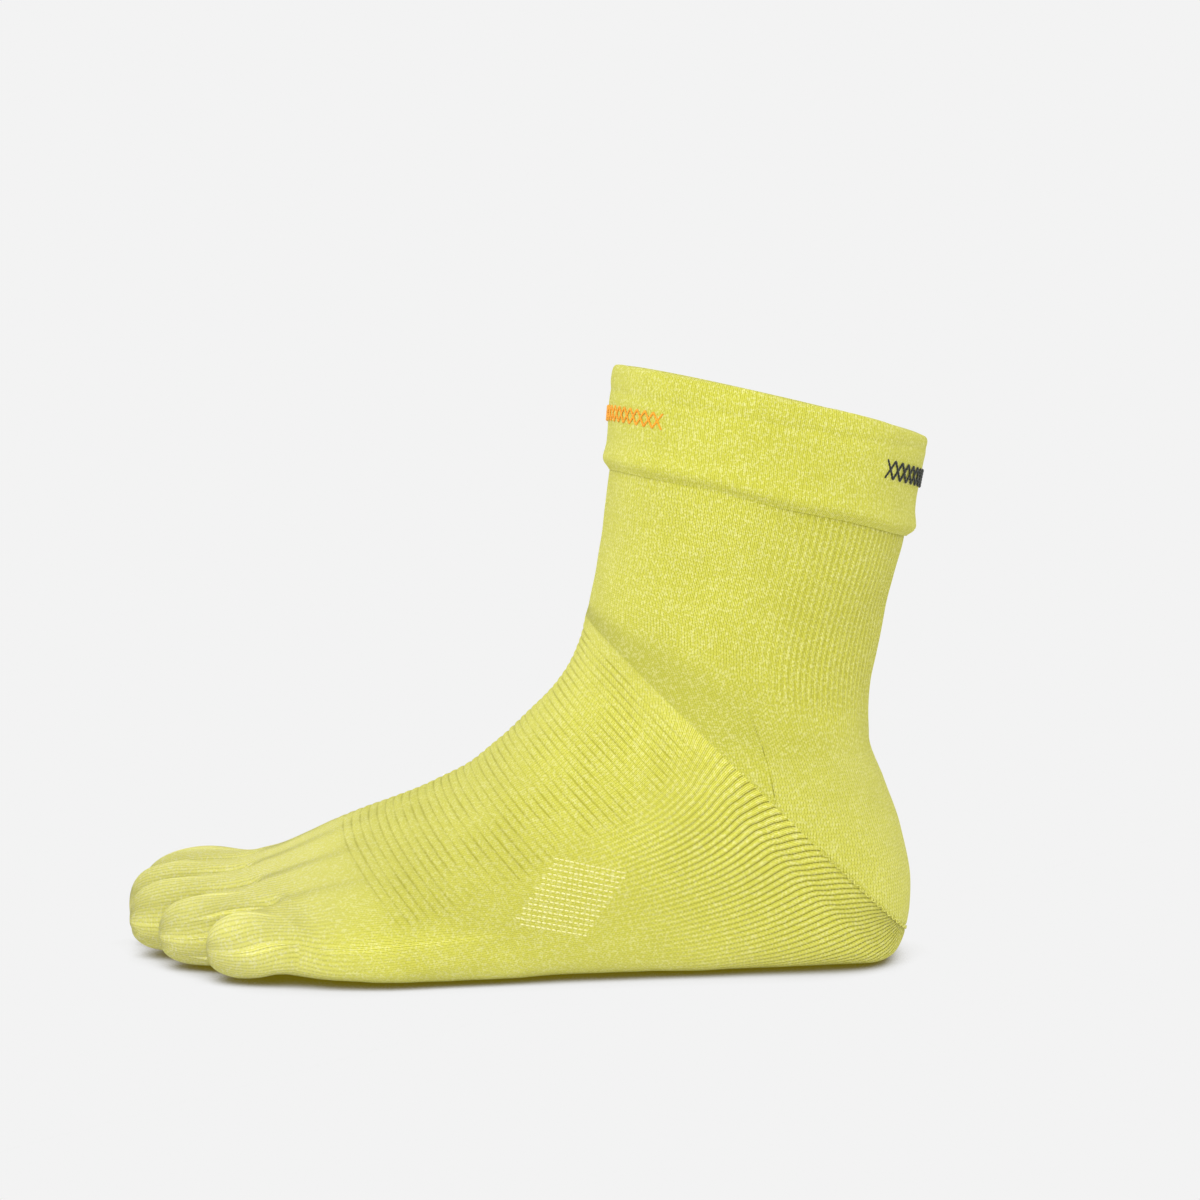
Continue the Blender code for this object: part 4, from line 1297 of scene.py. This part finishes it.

# %% [markdown]
# Floor, light and camera
#
# The sock stands in an even white studio. A wide flat floor that glows as bright as the sky behind it gives a
# background without a horizon, and under the sock a dark yellow contact shadow is painted into the floor's
# light. The sky fills the shadows, and one broad sun from the front and above gives the knit its relief.


# %% Studio
STUDIO_LIGHT = 0.896
PAINTED_SHADOW_REACH = 0.022


def make_floor():
    bpy.ops.object.select_all(action="DESELECT")
    bpy.ops.mesh.primitive_plane_add(size=30.0, location=(0, 0, -KNIT_WALL))
    floor = bpy.context.object
    floor.name = "studio_floor"
    bpy.ops.object.transform_apply(location=True, rotation=False, scale=False)
    paper = Yarn("studio paper with painted shadow")
    # Painted contact shadow: close to the sock an occlusion reading darkens the floor's even light to a dark
    # yellow, which also paints the light the yellow sock bounces onto it.
    near = paper.node("ShaderNodeAmbientOcclusion", {"samples": 8}, {"Distance": PAINTED_SHADOW_REACH}, "AO")
    glow_with_painted_shadow = paper.mix(paper.smooth(near, 0.10, 0.62), linear(105, 95, 12), (1.0, 1.0, 1.0, 1.0))
    paper.set(Base_Color=(0.0, 0.0, 0.0, 1.0), Roughness=1.0, Specular_IOR_Level=0.0)
    paper.set(Emission_Color=glow_with_painted_shadow, Emission_Strength=STUDIO_LIGHT)
    dress(floor, paper.material)
    return floor


floor = make_floor()

world = bpy.data.worlds.new("white studio")
bpy.context.scene.world = world
world.use_nodes = True
world.node_tree.nodes["Background"].inputs["Color"].default_value = (1.0, 1.0, 1.0, 1.0)
world.node_tree.nodes["Background"].inputs["Strength"].default_value = STUDIO_LIGHT


def add_sun(name, strength, softness, direction):
    light = bpy.data.lights.new(name, "SUN")
    light.energy = strength
    light.angle = math.radians(softness)
    lamp = bpy.data.objects.new(name, light)
    bpy.context.scene.collection.objects.link(lamp)
    lamp.rotation_euler = Vector(direction).to_track_quat("-Z", "Y").to_euler()
    return lamp


add_sun("front softbox", 1.30, 60.0, (0.28, 0.82, -0.50))

camera_data = bpy.data.cameras.new("camera")
camera_data.sensor_width = 36.0
camera_data.lens = 58.5
camera_data.clip_start = 0.01
camera_data.clip_end = 100.0
camera = bpy.data.objects.new("camera", camera_data)
bpy.context.scene.collection.objects.link(camera)
camera.location = (-0.04725, -0.614, 0.1545)
camera.rotation_euler = (math.radians(90 - 4.1), 0.0, 0.0)
bpy.context.scene.camera = camera
bpy.context.scene.view_settings.view_transform = "Standard"
bpy.context.scene.view_settings.look = "None"
